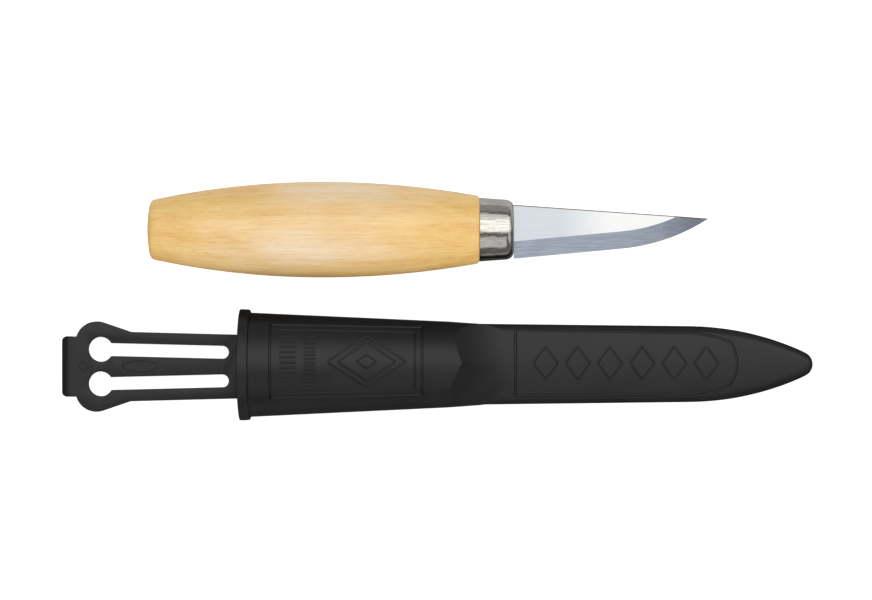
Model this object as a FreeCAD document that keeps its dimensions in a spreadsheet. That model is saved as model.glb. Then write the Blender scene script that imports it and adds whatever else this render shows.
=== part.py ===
import FreeCAD, Part
import math
import os

import Sketcher
from FreeCAD import Vector

# Whittling knife with a moulded sheath, laid side by side on a table.
# +X runs from the butt to the point of the blade, +Y is the side of the blade's spine,
# +Z is up, and the origin is under the middle of the whole layout.

DRIVING_SIZES = {
    # handle: a turned barrel of oval section
    "handle_length": 104.6,
    "handle_width": 30.25,
    "handle_depth": 24.0,
    "belly_station": 55.0,        # widest place, from the butt
    "belly_rear_radius": 255.0,
    "belly_front_radius": 279.0,
    "butt_round": 2.0,
    "front_round": 0.7,
    # ferrule: a drawn cup over the handle's tenon
    "ferrule_length": 10.9,
    "ferrule_width": 20.2,
    "ferrule_depth": 16.0,
    "ferrule_taper": 1.6,         # how much narrower the front is than the rear
    "ferrule_wall": 0.9,
    "ferrule_front_wall": 1.2,
    "ferrule_round": 2.2,
    "tenon_fit": 0.05,            # clearance all round between tenon and cup
    # blade: ground from both sides, with a stick tang
    "blade_length": 61.5,
    "blade_thickness": 2.7,
    "spine_height": 7.8,          # above the knife's axis at the ferrule
    "point_height": 3.5,
    "heel_height": 9.2,           # below the knife's axis at the ferrule
    "belly_height": 5.98,         # below the axis where the edge starts to curve up
    "belly_length": 27.2,         # stretch of the edge that curves up to the point
    "bevel_height": 5.4,
    "edge_land": 0.08,            # thickness left at the cutting edge
    "tang_length": 86.0,
    "tang_height": 7.4,
    "tang_end_height": 5.0,
    "tang_slot_fit": 0.1,
    "tang_bore_width": 8.6,
    "tang_bore_spare": 4.0,       # the bore goes on behind the end of the tang
    # sheath: one moulding, with a handle pocket and a narrower blade pocket
    "sheath_length": 181.7,
    "sheath_wall": 1.8,
    "mouth_pinch": 0.6,           # the mouth is this much smaller than the handle's belly
    "back_flat": 0.8,             # how far the flat back cuts into the oval
    "shoulder_station": 66.0,     # end of the handle pocket, from the mouth
    "shoulder_run": 18.0,
    "pocket_narrowing": 6.0,      # handle pocket, from mouth to shoulder
    "pocket_lowering": 6.4,
    "blade_room": 4.9,            # blade pocket wider than the blade
    "blade_pocket_depth": 7.8,
    "blade_pocket_end_depth": 5.0,
    "blade_part_narrowing": 1.3,
    "point_run": 38.7,            # stretch over which the sheath comes to its point
    "point_nose": 4.2,
    "edge_round": 1.6,
    "collar_length": 3.3,
    "collar_proud": 1.0,
    # belt strap: keyhole strap on a living hinge behind the mouth
    "strap_length": 57.7,
    "strap_thickness": 2.0,
    "strap_height": 3.6,          # its underside, over the table
    "strap_shift": -0.8,          # its middle, off the sheath's middle
    "strap_root_width": 20.3,
    "strap_neck_width": 22.1,
    "strap_neck_station": 35.4,
    "lobe_station": 46.3,
    "lobe_radius": 6.7,
    "lobe_spacing": 15.4,
    "tab_width": 19.2,
    "tab_length": 5.0,
    "lip_thickness": 1.8,
    "lip_bend": 3.0,
    "button_hole_radius": 3.95,
    "button_hole_station": 45.0,
    "button_hole_spacing": 11.0,
    "slot_width": 4.1,
    "slot_station": 6.2,          # middle of the slot's round end
    "slot_root_spacing": 9.1,
    "root_gap": 0.35,             # between the strap and the collar
    "root_flange": 1.4,
    "hinge_height": 1.0,
    "hinge_offset": 0.5,          # hinge line, behind the mouth
    "bead_radius": 0.9,
    "bead_gap": 0.4,
    # joins between shapes
    "plank_overlap": 8.0,         # the blade part starts this far inside the handle part
    "plank_flare": 0.3,           # and is this much wider there, each side
    "roof_inset": 1.0,            # the shoulder's roof ends this much inside the blade part
    "tab_overlap": 0.5,           # the flat strap runs this far into its bent end
    "cut_spare": 1.0,             # how far a cutting shape runs past what it cuts
    # layout on the table
    "lay_gap": 9.9,               # between the handle and the sheath's collar
    "lay_shift": -2.6,            # middle of the knife, along the layout
}

os.makedirs("parts", exist_ok=True)
doc = FreeCAD.newDocument("whittling_knife")

sheet = doc.addObject("Spreadsheet::Sheet", "dims")
for row, (alias, number) in enumerate(DRIVING_SIZES.items(), start=1):
    sheet.set(f"A{row}", alias)
    sheet.set(f"B{row}", str(number))
    sheet.setAlias(f"B{row}", alias)
doc.recompute()


def size(alias):
    """The number that the sheet holds under this alias."""
    return float(getattr(sheet, alias))


def new_body(label, place):
    body = doc.addObject("PartDesign::Body", label)
    body.Label = label
    for letter, expression in zip("xyz", place):
        body.setExpression(f"Placement.Base.{letter}", expression)
    return body


def new_sketch(body, name, role, offset="0"):
    """A sketch on one of the body's own origin planes, moved along the plane's normal."""
    sketch = body.newObject("Sketcher::SketchObject", name)
    plane = [feature for feature in body.Origin.OriginFeatures if feature.Role == role][0]
    sketch.AttachmentSupport = (plane, "")
    sketch.MapMode = "FlatFace"
    sketch.setExpression("AttachmentOffset.Base.z", offset)
    return sketch


def value(expression):
    """What an expression over the sheet comes to, to draw a sketch near its final form."""
    return float(sheet.evalExpression(expression))


def bind(sketch, expression, *constraint):
    """Add a dimension to the sketch and drive it from the sheet."""
    index = sketch.addConstraint(Sketcher.Constraint(*constraint, value(expression)))
    sketch.setExpression(f"Constraints[{index}]", expression)


def oval(body, name, station, width, depth, height="0"):
    """An ellipse across the piece, its wide way along Y."""
    sketch = new_sketch(body, name, "YZ_Plane", station)
    centre = Vector(0, value(height), 0)
    sketch.addGeometry(Part.Ellipse(centre, value(width) / 2, value(depth) / 2))
    sketch.exposeInternalGeometry(0)
    wide_axis, deep_axis = 1, 2
    sketch.addConstraint(Sketcher.Constraint("Horizontal", wide_axis))
    bind(sketch, width, "Distance", wide_axis, 1, wide_axis, 2)
    bind(sketch, depth, "Distance", deep_axis, 1, deep_axis, 2)
    sketch.addConstraint(Sketcher.Constraint("PointOnObject", 0, 3, -2))
    bind(sketch, height, "DistanceY", -1, 1, 0, 3)
    return sketch


def polygon(body, name, role, offset, corners):
    """A closed outline of straight lines; each corner is a pair of expressions."""
    sketch = new_sketch(body, name, role, offset)
    points = [Vector(value(along), value(up), 0) for along, up in corners]
    for start, end in zip(points, points[1:] + points[:1]):
        sketch.addGeometry(Part.LineSegment(start, end))
    for index, (along, up) in enumerate(corners):
        before = (index - 1) % len(corners)
        sketch.addConstraint(Sketcher.Constraint("Coincident", before, 2, index, 1))
        bind(sketch, along, "DistanceX", -1, 1, index, 1)
        bind(sketch, up, "DistanceY", -1, 1, index, 1)
    return sketch


def circles(body, name, role, offset, centres, radius):
    sketch = new_sketch(body, name, role, offset)
    for index, (along, up) in enumerate(centres):
        centre = Vector(value(along), value(up), 0)
        sketch.addGeometry(Part.Circle(centre, Vector(0, 0, 1), value(radius)))
        bind(sketch, along, "DistanceX", -1, 1, index, 3)
        bind(sketch, up, "DistanceY", -1, 1, index, 3)
        bind(sketch, radius, "Radius", index)
    return sketch


def loft(body, kind, name, sketches, ruled=True):
    feature = body.newObject(f"PartDesign::{kind}", name)
    feature.Profile = sketches[0]
    feature.Sections = sketches[1:]
    feature.Ruled = ruled
    doc.recompute()
    return feature


def extrude(body, kind, name, sketch, length, side="One side", turned=False):
    """A pad or a pocket; a pocket runs against the sketch's normal unless turned."""
    feature = body.newObject(f"PartDesign::{kind}", name)
    feature.Profile = sketch
    feature.setExpression("Length", length)
    feature.SideType = side
    feature.Reversed = turned
    before = body.Shape.Volume if body.Shape.Solids else 0.0
    doc.recompute()
    grows = kind == "Pad"
    assert (feature.Shape.Volume > before) == grows, f"{name} changed nothing"
    return feature


def edges_where(feature, test):
    """Names of the feature's edges whose middle point passes the test."""
    names = []
    for index, edge in enumerate(feature.Shape.Edges, start=1):
        middle = edge.valueAt((edge.FirstParameter + edge.LastParameter) / 2)
        if test(middle, edge):
            names.append(f"Edge{index}")
    assert names, f"{feature.Label} has no such edge"
    return names


def round_edges(body, name, base, names, radius):
    fillet = body.newObject("PartDesign::Fillet", name)
    fillet.Base = (base, names)
    fillet.setExpression("Radius", radius)
    doc.recompute()
    return fillet


# ---------------------------------------------------------------- where things lie
# Every piece of the knife is drawn from the front face of the ferrule, on the knife's axis.
FERRULE_FRONT = (
    "dims.lay_shift - (dims.handle_length + dims.ferrule_length + dims.blade_length)/2"
    " + dims.handle_length + dims.ferrule_length"
)
# The mouth of the sheath is tighter than the handle's belly, wall added all round.
MOUTH_WIDTH = "(dims.handle_width - dims.mouth_pinch + 2*dims.sheath_wall)"
MOUTH_TOP = "(dims.handle_depth - dims.mouth_pinch + 2*dims.sheath_wall)"
COLLAR_WIDTH = f"({MOUTH_WIDTH} + 2*dims.collar_proud)"
KNIFE_PLACE = (FERRULE_FRONT, f"(dims.lay_gap + {COLLAR_WIDTH})/2", "dims.handle_depth/2")
# Every piece of the sheath is drawn from the middle of its mouth, at table height.
SHEATH_PLACE = (
    "(dims.strap_length - dims.sheath_length)/2",
    "-(dims.lay_gap + dims.handle_width)/2",
    "0",
)


# ---------------------------------------------------------------- handle
def handle_width_at(station):
    """Width of the barrel at a station from the butt: one long arc each side of the belly."""
    behind = value(station) < size("belly_station")
    radius = "dims.belly_rear_radius" if behind else "dims.belly_front_radius"
    drop = f"({radius} - sqrt({radius}^2 - ({station} - dims.belly_station)^2))"
    return f"(dims.handle_width - 2*{drop})"


def barrel_size(station):
    width = handle_width_at(station)
    return width, f"{width}*dims.handle_depth/dims.handle_width"


def tang_outline(body, name):
    """The stick tang seen from the side, from its shoulders to its end."""
    return polygon(body, name, "XY_Plane", "0", [
        ("0", "-dims.tang_height/2"),
        ("0", "dims.tang_height/2"),
        ("-dims.tang_length", "dims.tang_end_height/2"),
        ("-dims.tang_length", "-dims.tang_end_height/2"),
    ])


CUP_DEPTH = "(dims.ferrule_length - dims.ferrule_front_wall)"
BORE_END = "(dims.tang_length + dims.tang_bore_spare)"


def cup_section(station_from_front, way, inset):
    """Size of the ferrule's cone at a distance behind its front, taken in by a wall."""
    lost = f"dims.ferrule_taper*(1 - {station_from_front}/dims.ferrule_length)"
    return f"(dims.ferrule_{way} - {lost} - 2*{inset})"


def rounded_end(body, name, end, inward, width, depth, radius):
    """A loft that takes an oval in by a quarter round, towards its end at a station."""
    sections = []
    for turn in (0, 30, 60, 90):
        back = f"{inward}*{1 - math.sin(math.radians(turn)):.4f}*{radius}"
        inset = f"{2 * (1 - math.cos(math.radians(turn))):.4f}*{radius}"
        sections.append(oval(body, f"{name}_{turn}", f"{end} + {back}", f"({width} - {inset})",
                             f"({depth} - {inset})"))
    return loft(body, "AdditiveLoft", name, sections)


def make_handle():
    body = new_body("handle", KNIFE_PLACE)
    butt = "(dims.ferrule_length + dims.handle_length)"
    first, last = "dims.butt_round", "(dims.handle_length - dims.front_round)"
    stations = [first, "dims.handle_length*0.18", "dims.handle_length*0.36", "dims.belly_station"]
    stations += ["dims.handle_length*0.69", "dims.handle_length*0.85", last]
    sections = []
    for number, station in enumerate(stations):
        width, depth = barrel_size(station)
        sections.append(oval(body, f"barrel_{number}", f"{station} - {butt}", width, depth))
    loft(body, "AdditiveLoft", "barrel", sections, ruled=False)
    rounded_end(body, "butt_end", f"-{butt}", "1", *barrel_size(first), "dims.butt_round")
    rounded_end(body, "front_end", "-dims.ferrule_length", "-1", *barrel_size(last), "dims.front_round")

    inset = "(dims.ferrule_wall + dims.tenon_fit)"
    tenon_ends = []
    for name, station in (("tenon_root", "dims.ferrule_length"), ("tenon_end", "dims.ferrule_front_wall")):
        width = cup_section(station, "width", inset)
        depth = cup_section(station, "depth", inset)
        tenon_ends.append(oval(body, name, f"-{station}", width, depth))
    loft(body, "AdditiveLoft", "tenon", tenon_ends)

    bore_mouth = circles(body, "bore_mouth", "YZ_Plane", "-dims.ferrule_front_wall",
                         [("0", "0")], "dims.tang_bore_width/2")
    extrude(body, "Pocket", "tang_bore", bore_mouth, f"{BORE_END} - dims.ferrule_front_wall")
    return body


# ---------------------------------------------------------------- cured glue round the tang
def make_glue():
    body = new_body("tang_glue", KNIFE_PLACE)
    mouth = circles(body, "filling_mouth", "YZ_Plane", "-dims.ferrule_front_wall",
                    [("0", "0")], "dims.tang_bore_width/2")
    extrude(body, "Pad", "filling", mouth, f"{BORE_END} - dims.ferrule_front_wall", turned=True)
    extrude(body, "Pocket", "tang_space", tang_outline(body, "tang_print"),
            "dims.blade_thickness", side="Symmetric")
    return body


# ---------------------------------------------------------------- ferrule
def make_ferrule():
    body = new_body("ferrule", KNIFE_PLACE)
    ends = []
    for name, station in (("cup_rear", "dims.ferrule_length"), ("cup_front", "dims.ferrule_round")):
        width = cup_section(station, "width", "0")
        depth = cup_section(station, "depth", "0")
        ends.append(oval(body, name, f"-{station}", width, depth))
    loft(body, "AdditiveLoft", "cup", ends)
    rounded_end(body, "front_rim", "0", "-1", width, depth, "dims.ferrule_round")

    inside = []
    for name, station in (("inside_rear", "dims.ferrule_length"), ("inside_front", "dims.ferrule_front_wall")):
        width = cup_section(station, "width", "dims.ferrule_wall")
        depth = cup_section(station, "depth", "dims.ferrule_wall")
        inside.append(oval(body, name, f"-{station}", width, depth))
    loft(body, "SubtractiveLoft", "inside", inside)

    half_height = "(dims.tang_height/2 + dims.tang_slot_fit)"
    half_thickness = "(dims.blade_thickness/2 + dims.tang_slot_fit)"
    slot = polygon(body, "tang_slot_outline", "YZ_Plane", "0", [
        (f"-{half_height}", f"-{half_thickness}"),
        (half_height, f"-{half_thickness}"),
        (half_height, half_thickness),
        (f"-{half_height}", half_thickness),
    ])
    extrude(body, "Pocket", "tang_slot", slot, "dims.ferrule_front_wall + dims.cut_spare")
    return body


# ---------------------------------------------------------------- blade
def cutting_edge(sketch):
    """Straight stretch from the heel, then one arc that curves up to the point and past it."""
    turn_x = size("blade_length") - size("belly_length")
    turn = Vector(turn_x, -size("belly_height"), 0)
    heel = Vector(0, -size("heel_height"), 0)
    point = Vector(size("blade_length"), size("point_height"), 0)
    straight_angle = math.atan2(turn.y - heel.y, turn.x - heel.x)
    chord = point.sub(turn)
    chord_angle = math.atan2(chord.y, chord.x)
    radius = chord.Length / (2 * math.sin(chord_angle - straight_angle))
    centre = turn.add(Vector(-math.sin(straight_angle), math.cos(straight_angle), 0).multiply(radius))
    start = math.atan2(turn.y - centre.y, turn.x - centre.x)
    end = math.atan2(point.y - centre.y, point.x - centre.x)
    sketch.addGeometry(Part.LineSegment(heel, turn))
    sketch.addGeometry(Part.ArcOfCircle(Part.Circle(centre, Vector(0, 0, 1), radius), start, end))
    slope = end + math.pi / 2
    return point, Vector(math.cos(slope), math.sin(slope), 0)


# How far the blank runs on past the point before the spine is cut.
RUN_OUT = "(dims.bevel_height + 2*dims.cut_spare)"


def make_blade():
    body = new_body("blade", KNIFE_PLACE)
    # The blank runs on past the point, so that the bevels can be ground along the whole edge.
    blank = new_sketch(body, "blank_outline", "XY_Plane")
    point, heading = cutting_edge(blank)
    beyond = value(RUN_OUT)
    far = point.add(Vector(heading).multiply(beyond))
    top = size("spine_height") + beyond
    corners = [point, far, Vector(far.x, top, 0), Vector(0, top, 0), Vector(0, -size("heel_height"), 0)]
    for start, end in zip(corners, corners[1:]):
        blank.addGeometry(Part.LineSegment(start, end))
    straight, curve, run_out, side, back, front = range(6)
    for first, second in ((straight, curve), (curve, run_out)):
        blank.addConstraint(Sketcher.Constraint("Tangent", first, 2, second, 1))
    for first, second in ((run_out, side), (side, back), (back, front), (front, straight)):
        blank.addConstraint(Sketcher.Constraint("Coincident", first, 2, second, 1))
    bind(blank, "0", "DistanceX", -1, 1, straight, 1)
    bind(blank, "-dims.heel_height", "DistanceY", -1, 1, straight, 1)
    bind(blank, "dims.blade_length - dims.belly_length", "DistanceX", -1, 1, straight, 2)
    bind(blank, "-dims.belly_height", "DistanceY", -1, 1, straight, 2)
    bind(blank, "dims.blade_length", "DistanceX", -1, 1, curve, 2)
    bind(blank, "dims.point_height", "DistanceY", -1, 1, curve, 2)
    bind(blank, RUN_OUT, "Distance", run_out, 1, run_out, 2)
    bind(blank, f"dims.spine_height + {RUN_OUT}", "DistanceY", -1, 1, back, 1)
    blank.addConstraint(Sketcher.Constraint("Vertical", side))
    blank.addConstraint(Sketcher.Constraint("Horizontal", back))
    blank.addConstraint(Sketcher.Constraint("Vertical", front))
    plate = extrude(body, "Pad", "plate", blank, "dims.blade_thickness", side="Symmetric")

    half = size("blade_thickness") / 2

    def on_cutting_edge(middle, edge):
        on_a_flat = abs(abs(middle.z) - half) < 0.001
        runs_along = edge.Vertexes[0].Point.x != edge.Vertexes[-1].Point.x
        below_back = middle.y < top - 0.01
        return on_a_flat and runs_along and below_back

    grind = body.newObject("PartDesign::Chamfer", "bevels")
    grind.Base = (plate, edges_where(plate, on_cutting_edge))
    grind.ChamferType = "Two distances"
    grind.FlipDirection = True
    grind.setExpression("Size", "dims.bevel_height")
    grind.setExpression("Size2", "(dims.blade_thickness - dims.edge_land)/2")
    doc.recompute()

    waste = polygon(body, "spine_waste", "XY_Plane", "0", [
        ("0", "dims.spine_height"),
        ("dims.blade_length", "dims.point_height"),
        (f"dims.blade_length + 2*{RUN_OUT}", "dims.point_height"),
        (f"dims.blade_length + 2*{RUN_OUT}", f"dims.spine_height + 2*{RUN_OUT}"),
        ("0", f"dims.spine_height + 2*{RUN_OUT}"),
    ])
    extrude(body, "Pocket", "spine", waste, "dims.blade_thickness + dims.cut_spare", side="Symmetric")
    extrude(body, "Pad", "tang", tang_outline(body, "tang_profile"), "dims.blade_thickness",
            side="Symmetric")
    return body


# ---------------------------------------------------------------- sheath
SHOULDER_WIDTH = f"({MOUTH_WIDTH} - dims.pocket_narrowing)"
SHOULDER_TOP = f"({MOUTH_TOP} - dims.pocket_lowering)"
BLADE_PART_WIDTH = "(dims.spine_height + dims.heel_height + dims.blade_room + 2*dims.sheath_wall)"
BLADE_PART_TOP = "(dims.blade_pocket_depth + 2*dims.sheath_wall)"
BLADE_PART_END_TOP = "(dims.blade_pocket_end_depth + 2*dims.sheath_wall)"
POINT_START = "(dims.sheath_length - dims.point_run)"
PLANK_START = "(dims.shoulder_station - dims.plank_overlap)"


def body_oval(body, name, station, width, top):
    """Outer oval of the sheath, sunk a little so that the table plane cuts its back flat."""
    depth = f"({top} + dims.back_flat)"
    return oval(body, name, station, width, depth, f"({top} - dims.back_flat)/2")


def sheath_plan(body):
    """The blade part from above: gently tapered sides that come to a rounded point."""
    sketch = new_sketch(body, "blade_part_plan", "XY_Plane")
    rear_x, rear_y = value(PLANK_START), value(BLADE_PART_WIDTH) / 2 + size("plank_flare")
    side_x = value(POINT_START)
    side_y = (value(BLADE_PART_WIDTH) - size("blade_part_narrowing")) / 2
    nose = size("point_nose")
    nose_x = size("sheath_length") - nose
    lean = math.atan2(rear_y - side_y, side_x - rear_x)
    # The long arc touches the straight side and the nose circle.
    run, rise = nose_x - side_x, side_y
    radius = (run**2 + rise**2 - nose**2) / (2 * (rise * math.cos(lean) - run * math.sin(lean) - nose))
    centre = Vector(side_x - radius * math.sin(lean), side_y - radius * math.cos(lean), 0)
    touch = math.atan2(0 - centre.y, nose_x - centre.x)
    up = Vector(0, 0, 1)
    sketch.addGeometry(Part.LineSegment(Vector(rear_x, -rear_y, 0), Vector(side_x, -side_y, 0)))
    lower = Part.Circle(Vector(centre.x, -centre.y, 0), up, radius)
    sketch.addGeometry(Part.ArcOfCircle(lower, lean - math.pi / 2, -touch))
    sketch.addGeometry(Part.ArcOfCircle(Part.Circle(Vector(nose_x, 0, 0), up, nose), -touch, touch))
    upper = Part.Circle(centre, up, radius)
    sketch.addGeometry(Part.ArcOfCircle(upper, touch, math.pi / 2 - lean))
    sketch.addGeometry(Part.LineSegment(Vector(side_x, side_y, 0), Vector(rear_x, rear_y, 0)))
    sketch.addGeometry(Part.LineSegment(Vector(rear_x, rear_y, 0), Vector(rear_x, -rear_y, 0)))
    low_side, low_arc, nose_arc, high_arc, high_side, rear = range(6)
    for first, second in ((low_side, low_arc), (low_arc, nose_arc), (nose_arc, high_arc), (high_arc, high_side)):
        sketch.addConstraint(Sketcher.Constraint("Tangent", first, 2, second, 1))
    sketch.addConstraint(Sketcher.Constraint("Coincident", high_side, 2, rear, 1))
    sketch.addConstraint(Sketcher.Constraint("Coincident", rear, 2, low_side, 1))
    sketch.addConstraint(Sketcher.Constraint("Symmetric", low_side, 1, high_side, 2, -1))
    sketch.addConstraint(Sketcher.Constraint("Symmetric", low_side, 2, high_side, 1, -1))
    sketch.addConstraint(Sketcher.Constraint("PointOnObject", nose_arc, 3, -1))
    bind(sketch, PLANK_START, "DistanceX", -1, 1, high_side, 2)
    bind(sketch, f"{BLADE_PART_WIDTH}/2 + dims.plank_flare", "DistanceY", -1, 1, high_side, 2)
    bind(sketch, POINT_START, "DistanceX", -1, 1, high_side, 1)
    bind(sketch, f"({BLADE_PART_WIDTH} - dims.blade_part_narrowing)/2", "DistanceY", -1, 1, high_side, 1)
    bind(sketch, "dims.sheath_length - dims.point_nose", "DistanceX", -1, 1, nose_arc, 3)
    bind(sketch, "dims.point_nose", "Radius", nose_arc)
    return sketch


def box_section(body, name, station, width, low, high):
    return polygon(body, name, "YZ_Plane", station, [
        (f"-{width}/2", low),
        (f"{width}/2", low),
        (f"{width}/2", high),
        (f"-{width}/2", high),
    ])


def make_sheath_shell():
    body = new_body("sheath_shell", SHEATH_PLACE)
    plank = extrude(body, "Pad", "blade_part", sheath_plan(body), BLADE_PART_TOP)
    slope = polygon(body, "front_slope_outline", "XZ_Plane", "0", [
        (f"{PLANK_START} - dims.cut_spare", BLADE_PART_TOP),
        ("dims.sheath_length + dims.cut_spare", BLADE_PART_END_TOP),
        ("dims.sheath_length + dims.cut_spare", f"2*{BLADE_PART_TOP}"),
        (f"{PLANK_START} - dims.cut_spare", f"2*{BLADE_PART_TOP}"),
    ])
    sloped = extrude(body, "Pocket", "front_slope", slope, f"2*{BLADE_PART_WIDTH}", side="Symmetric")

    def on_front_rim(middle, edge):
        on_top = middle.z > value(BLADE_PART_END_TOP) - 0.1
        at_a_side = middle.x > value(PLANK_START) + 1 and abs(middle.y) > 0.01
        at_the_nose = middle.x > size("sheath_length") - 1
        return on_top and (at_a_side or at_the_nose)

    round_edges(body, "front_round_over", sloped, edges_where(sloped, on_front_rim), "dims.edge_round")

    shoulder_end = "(dims.shoulder_station + dims.shoulder_run)"
    mouth = body_oval(body, "mouth_oval", "0", MOUTH_WIDTH, MOUTH_TOP)
    shoulder = body_oval(body, "shoulder_oval", "dims.shoulder_station", SHOULDER_WIDTH, SHOULDER_TOP)
    loft(body, "AdditiveLoft", "handle_part", [mouth, shoulder])
    shoulder_again = body_oval(body, "roof_start", "dims.shoulder_station", SHOULDER_WIDTH, SHOULDER_TOP)
    roof_end = body_oval(body, "roof_end", shoulder_end, f"({BLADE_PART_WIDTH} - dims.roof_inset)",
                         f"({BLADE_PART_TOP} - dims.roof_inset)")
    loft(body, "AdditiveLoft", "shoulder_roof", [shoulder_again, roof_end])

    proud = "2*dims.collar_proud"
    collar = oval(body, "collar_oval", "0", f"({MOUTH_WIDTH} + {proud})",
                  f"({MOUTH_TOP} + dims.back_flat + {proud})", f"({MOUTH_TOP} - dims.back_flat)/2")
    extrude(body, "Pad", "collar", collar, "dims.collar_length")
    bead = circles(body, "bead_end", "XZ_Plane", "-dims.strap_shift",
                   [("-dims.hinge_offset", "dims.hinge_height")], "dims.bead_radius")
    extrude(body, "Pad", "hinge_bead", bead, "dims.strap_root_width - 2*dims.bead_gap", side="Symmetric")
    under = polygon(body, "table_plane", "XY_Plane", "0", [
        ("-dims.cut_spare", f"-{MOUTH_WIDTH}"),
        ("dims.sheath_length + dims.cut_spare", f"-{MOUTH_WIDTH}"),
        ("dims.sheath_length + dims.cut_spare", MOUTH_WIDTH),
        ("-dims.cut_spare", MOUTH_WIDTH),
    ])
    extrude(body, "Pocket", "flat_back", under, f"{MOUTH_TOP}")

    wall = "dims.sheath_wall"
    pocket = []
    for name, station, width, top in (("pocket_mouth", "0", MOUTH_WIDTH, MOUTH_TOP),
                                      ("pocket_end", "dims.shoulder_station", SHOULDER_WIDTH, SHOULDER_TOP)):
        pocket.append(oval(body, name, station, f"({width} - 2*{wall})", f"({top} - 2*{wall})", f"{top}/2"))
    loft(body, "SubtractiveLoft", "handle_pocket", pocket)

    end_width = f"({BLADE_PART_WIDTH} - dims.blade_part_narrowing - 2*{wall})"
    slot = [
        box_section(body, "slot_start", "dims.shoulder_station - dims.cut_spare", f"({BLADE_PART_WIDTH} - 2*{wall})",
                    wall, f"{wall} + dims.blade_pocket_depth"),
        box_section(body, "slot_side", POINT_START, end_width, wall, f"{wall} + dims.blade_pocket_end_depth"),
        box_section(body, "slot_end", "dims.sheath_length - 2*dims.point_nose", f"({end_width}/3)",
                    wall, f"{wall} + dims.blade_pocket_end_depth"),
    ]
    loft(body, "SubtractiveLoft", "blade_pocket", slot)

    return body


# ---------------------------------------------------------------- belt strap
STRAP_PLACE = (SHEATH_PLACE[0], f"{SHEATH_PLACE[1]} + dims.strap_shift", "0")
TAB_ROOT = "(dims.strap_length - dims.tab_length)"


def tangent_from(corner, centre, radius, side):
    """Where a line from the corner touches the circle, on the side asked for."""
    away = centre.sub(corner)
    reach = math.sqrt(away.Length**2 - radius**2)
    swing = math.asin(radius / away.Length) * side
    heading = math.atan2(away.y, away.x) + swing
    return corner.add(Vector(math.cos(heading), math.sin(heading), 0).multiply(reach))


def strap_plan(body):
    """The flat strap from above, its root at the mouth and its two lobes at the far end."""
    sketch = new_sketch(body, "strap_outline", "XY_Plane", "dims.strap_height")
    root = Vector(-size("root_gap"), size("strap_root_width") / 2, 0)
    neck = Vector(-size("strap_neck_station"), size("strap_neck_width") / 2, 0)
    lobe = Vector(-size("lobe_station"), size("lobe_spacing") / 2, 0)
    radius = size("lobe_radius")
    touch = tangent_from(neck, lobe, radius, -1)
    tab_y = size("tab_width") / 2
    tab_x = lobe.x - math.sqrt(radius**2 - (tab_y - lobe.y) ** 2)
    tab_start = Vector(tab_x, tab_y, 0)
    tab_end = Vector(-value(TAB_ROOT) - size("tab_overlap"), tab_y, 0)

    def mirrored(point):
        return Vector(point.x, -point.y, 0)

    def arc(centre, first, last):
        start = math.atan2(first.y - centre.y, first.x - centre.x)
        end = math.atan2(last.y - centre.y, last.x - centre.x)
        return Part.ArcOfCircle(Part.Circle(centre, Vector(0, 0, 1), radius), start, end)

    sketch.addGeometry(Part.LineSegment(mirrored(root), root))
    sketch.addGeometry(Part.LineSegment(root, neck))
    sketch.addGeometry(Part.LineSegment(neck, touch))
    sketch.addGeometry(arc(lobe, touch, tab_start))
    sketch.addGeometry(Part.LineSegment(tab_start, tab_end))
    sketch.addGeometry(Part.LineSegment(tab_end, mirrored(tab_end)))
    sketch.addGeometry(Part.LineSegment(mirrored(tab_end), mirrored(tab_start)))
    sketch.addGeometry(arc(mirrored(lobe), mirrored(tab_start), mirrored(touch)))
    sketch.addGeometry(Part.LineSegment(mirrored(touch), mirrored(neck)))
    sketch.addGeometry(Part.LineSegment(mirrored(neck), mirrored(root)))
    rear, high_side, high_flare, high_lobe, high_tab, end, low_tab, low_lobe, low_flare, low_side = range(10)
    join = sketch.addConstraint
    for first, second in ((rear, high_side), (high_side, high_flare), (high_lobe, high_tab), (high_tab, end),
                          (end, low_tab), (low_tab, low_lobe), (low_flare, low_side), (low_side, rear)):
        join(Sketcher.Constraint("Coincident", first, 2, second, 1))
    join(Sketcher.Constraint("Tangent", high_flare, 2, high_lobe, 1))
    join(Sketcher.Constraint("Tangent", low_lobe, 2, low_flare, 1))
    for curve, point, twin, twin_point in ((high_side, 1, low_side, 2), (high_side, 2, low_side, 1),
                                           (high_lobe, 3, low_lobe, 3), (high_tab, 2, low_tab, 1)):
        join(Sketcher.Constraint("Symmetric", curve, point, twin, twin_point, -1))
    join(Sketcher.Constraint("Equal", high_lobe, low_lobe))
    join(Sketcher.Constraint("Horizontal", high_tab))
    join(Sketcher.Constraint("Horizontal", low_tab))
    bind(sketch, "-dims.root_gap", "DistanceX", -1, 1, high_side, 1)
    bind(sketch, "dims.strap_root_width/2", "DistanceY", -1, 1, high_side, 1)
    bind(sketch, "-dims.strap_neck_station", "DistanceX", -1, 1, high_side, 2)
    bind(sketch, "dims.strap_neck_width/2", "DistanceY", -1, 1, high_side, 2)
    bind(sketch, "-dims.lobe_station", "DistanceX", -1, 1, high_lobe, 3)
    bind(sketch, "dims.lobe_spacing/2", "DistanceY", -1, 1, high_lobe, 3)
    bind(sketch, "dims.lobe_radius", "Radius", high_lobe)
    bind(sketch, f"-{TAB_ROOT} - dims.tab_overlap", "DistanceX", -1, 1, high_tab, 2)
    bind(sketch, "dims.tab_width/2", "DistanceY", -1, 1, high_tab, 2)
    return sketch


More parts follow.
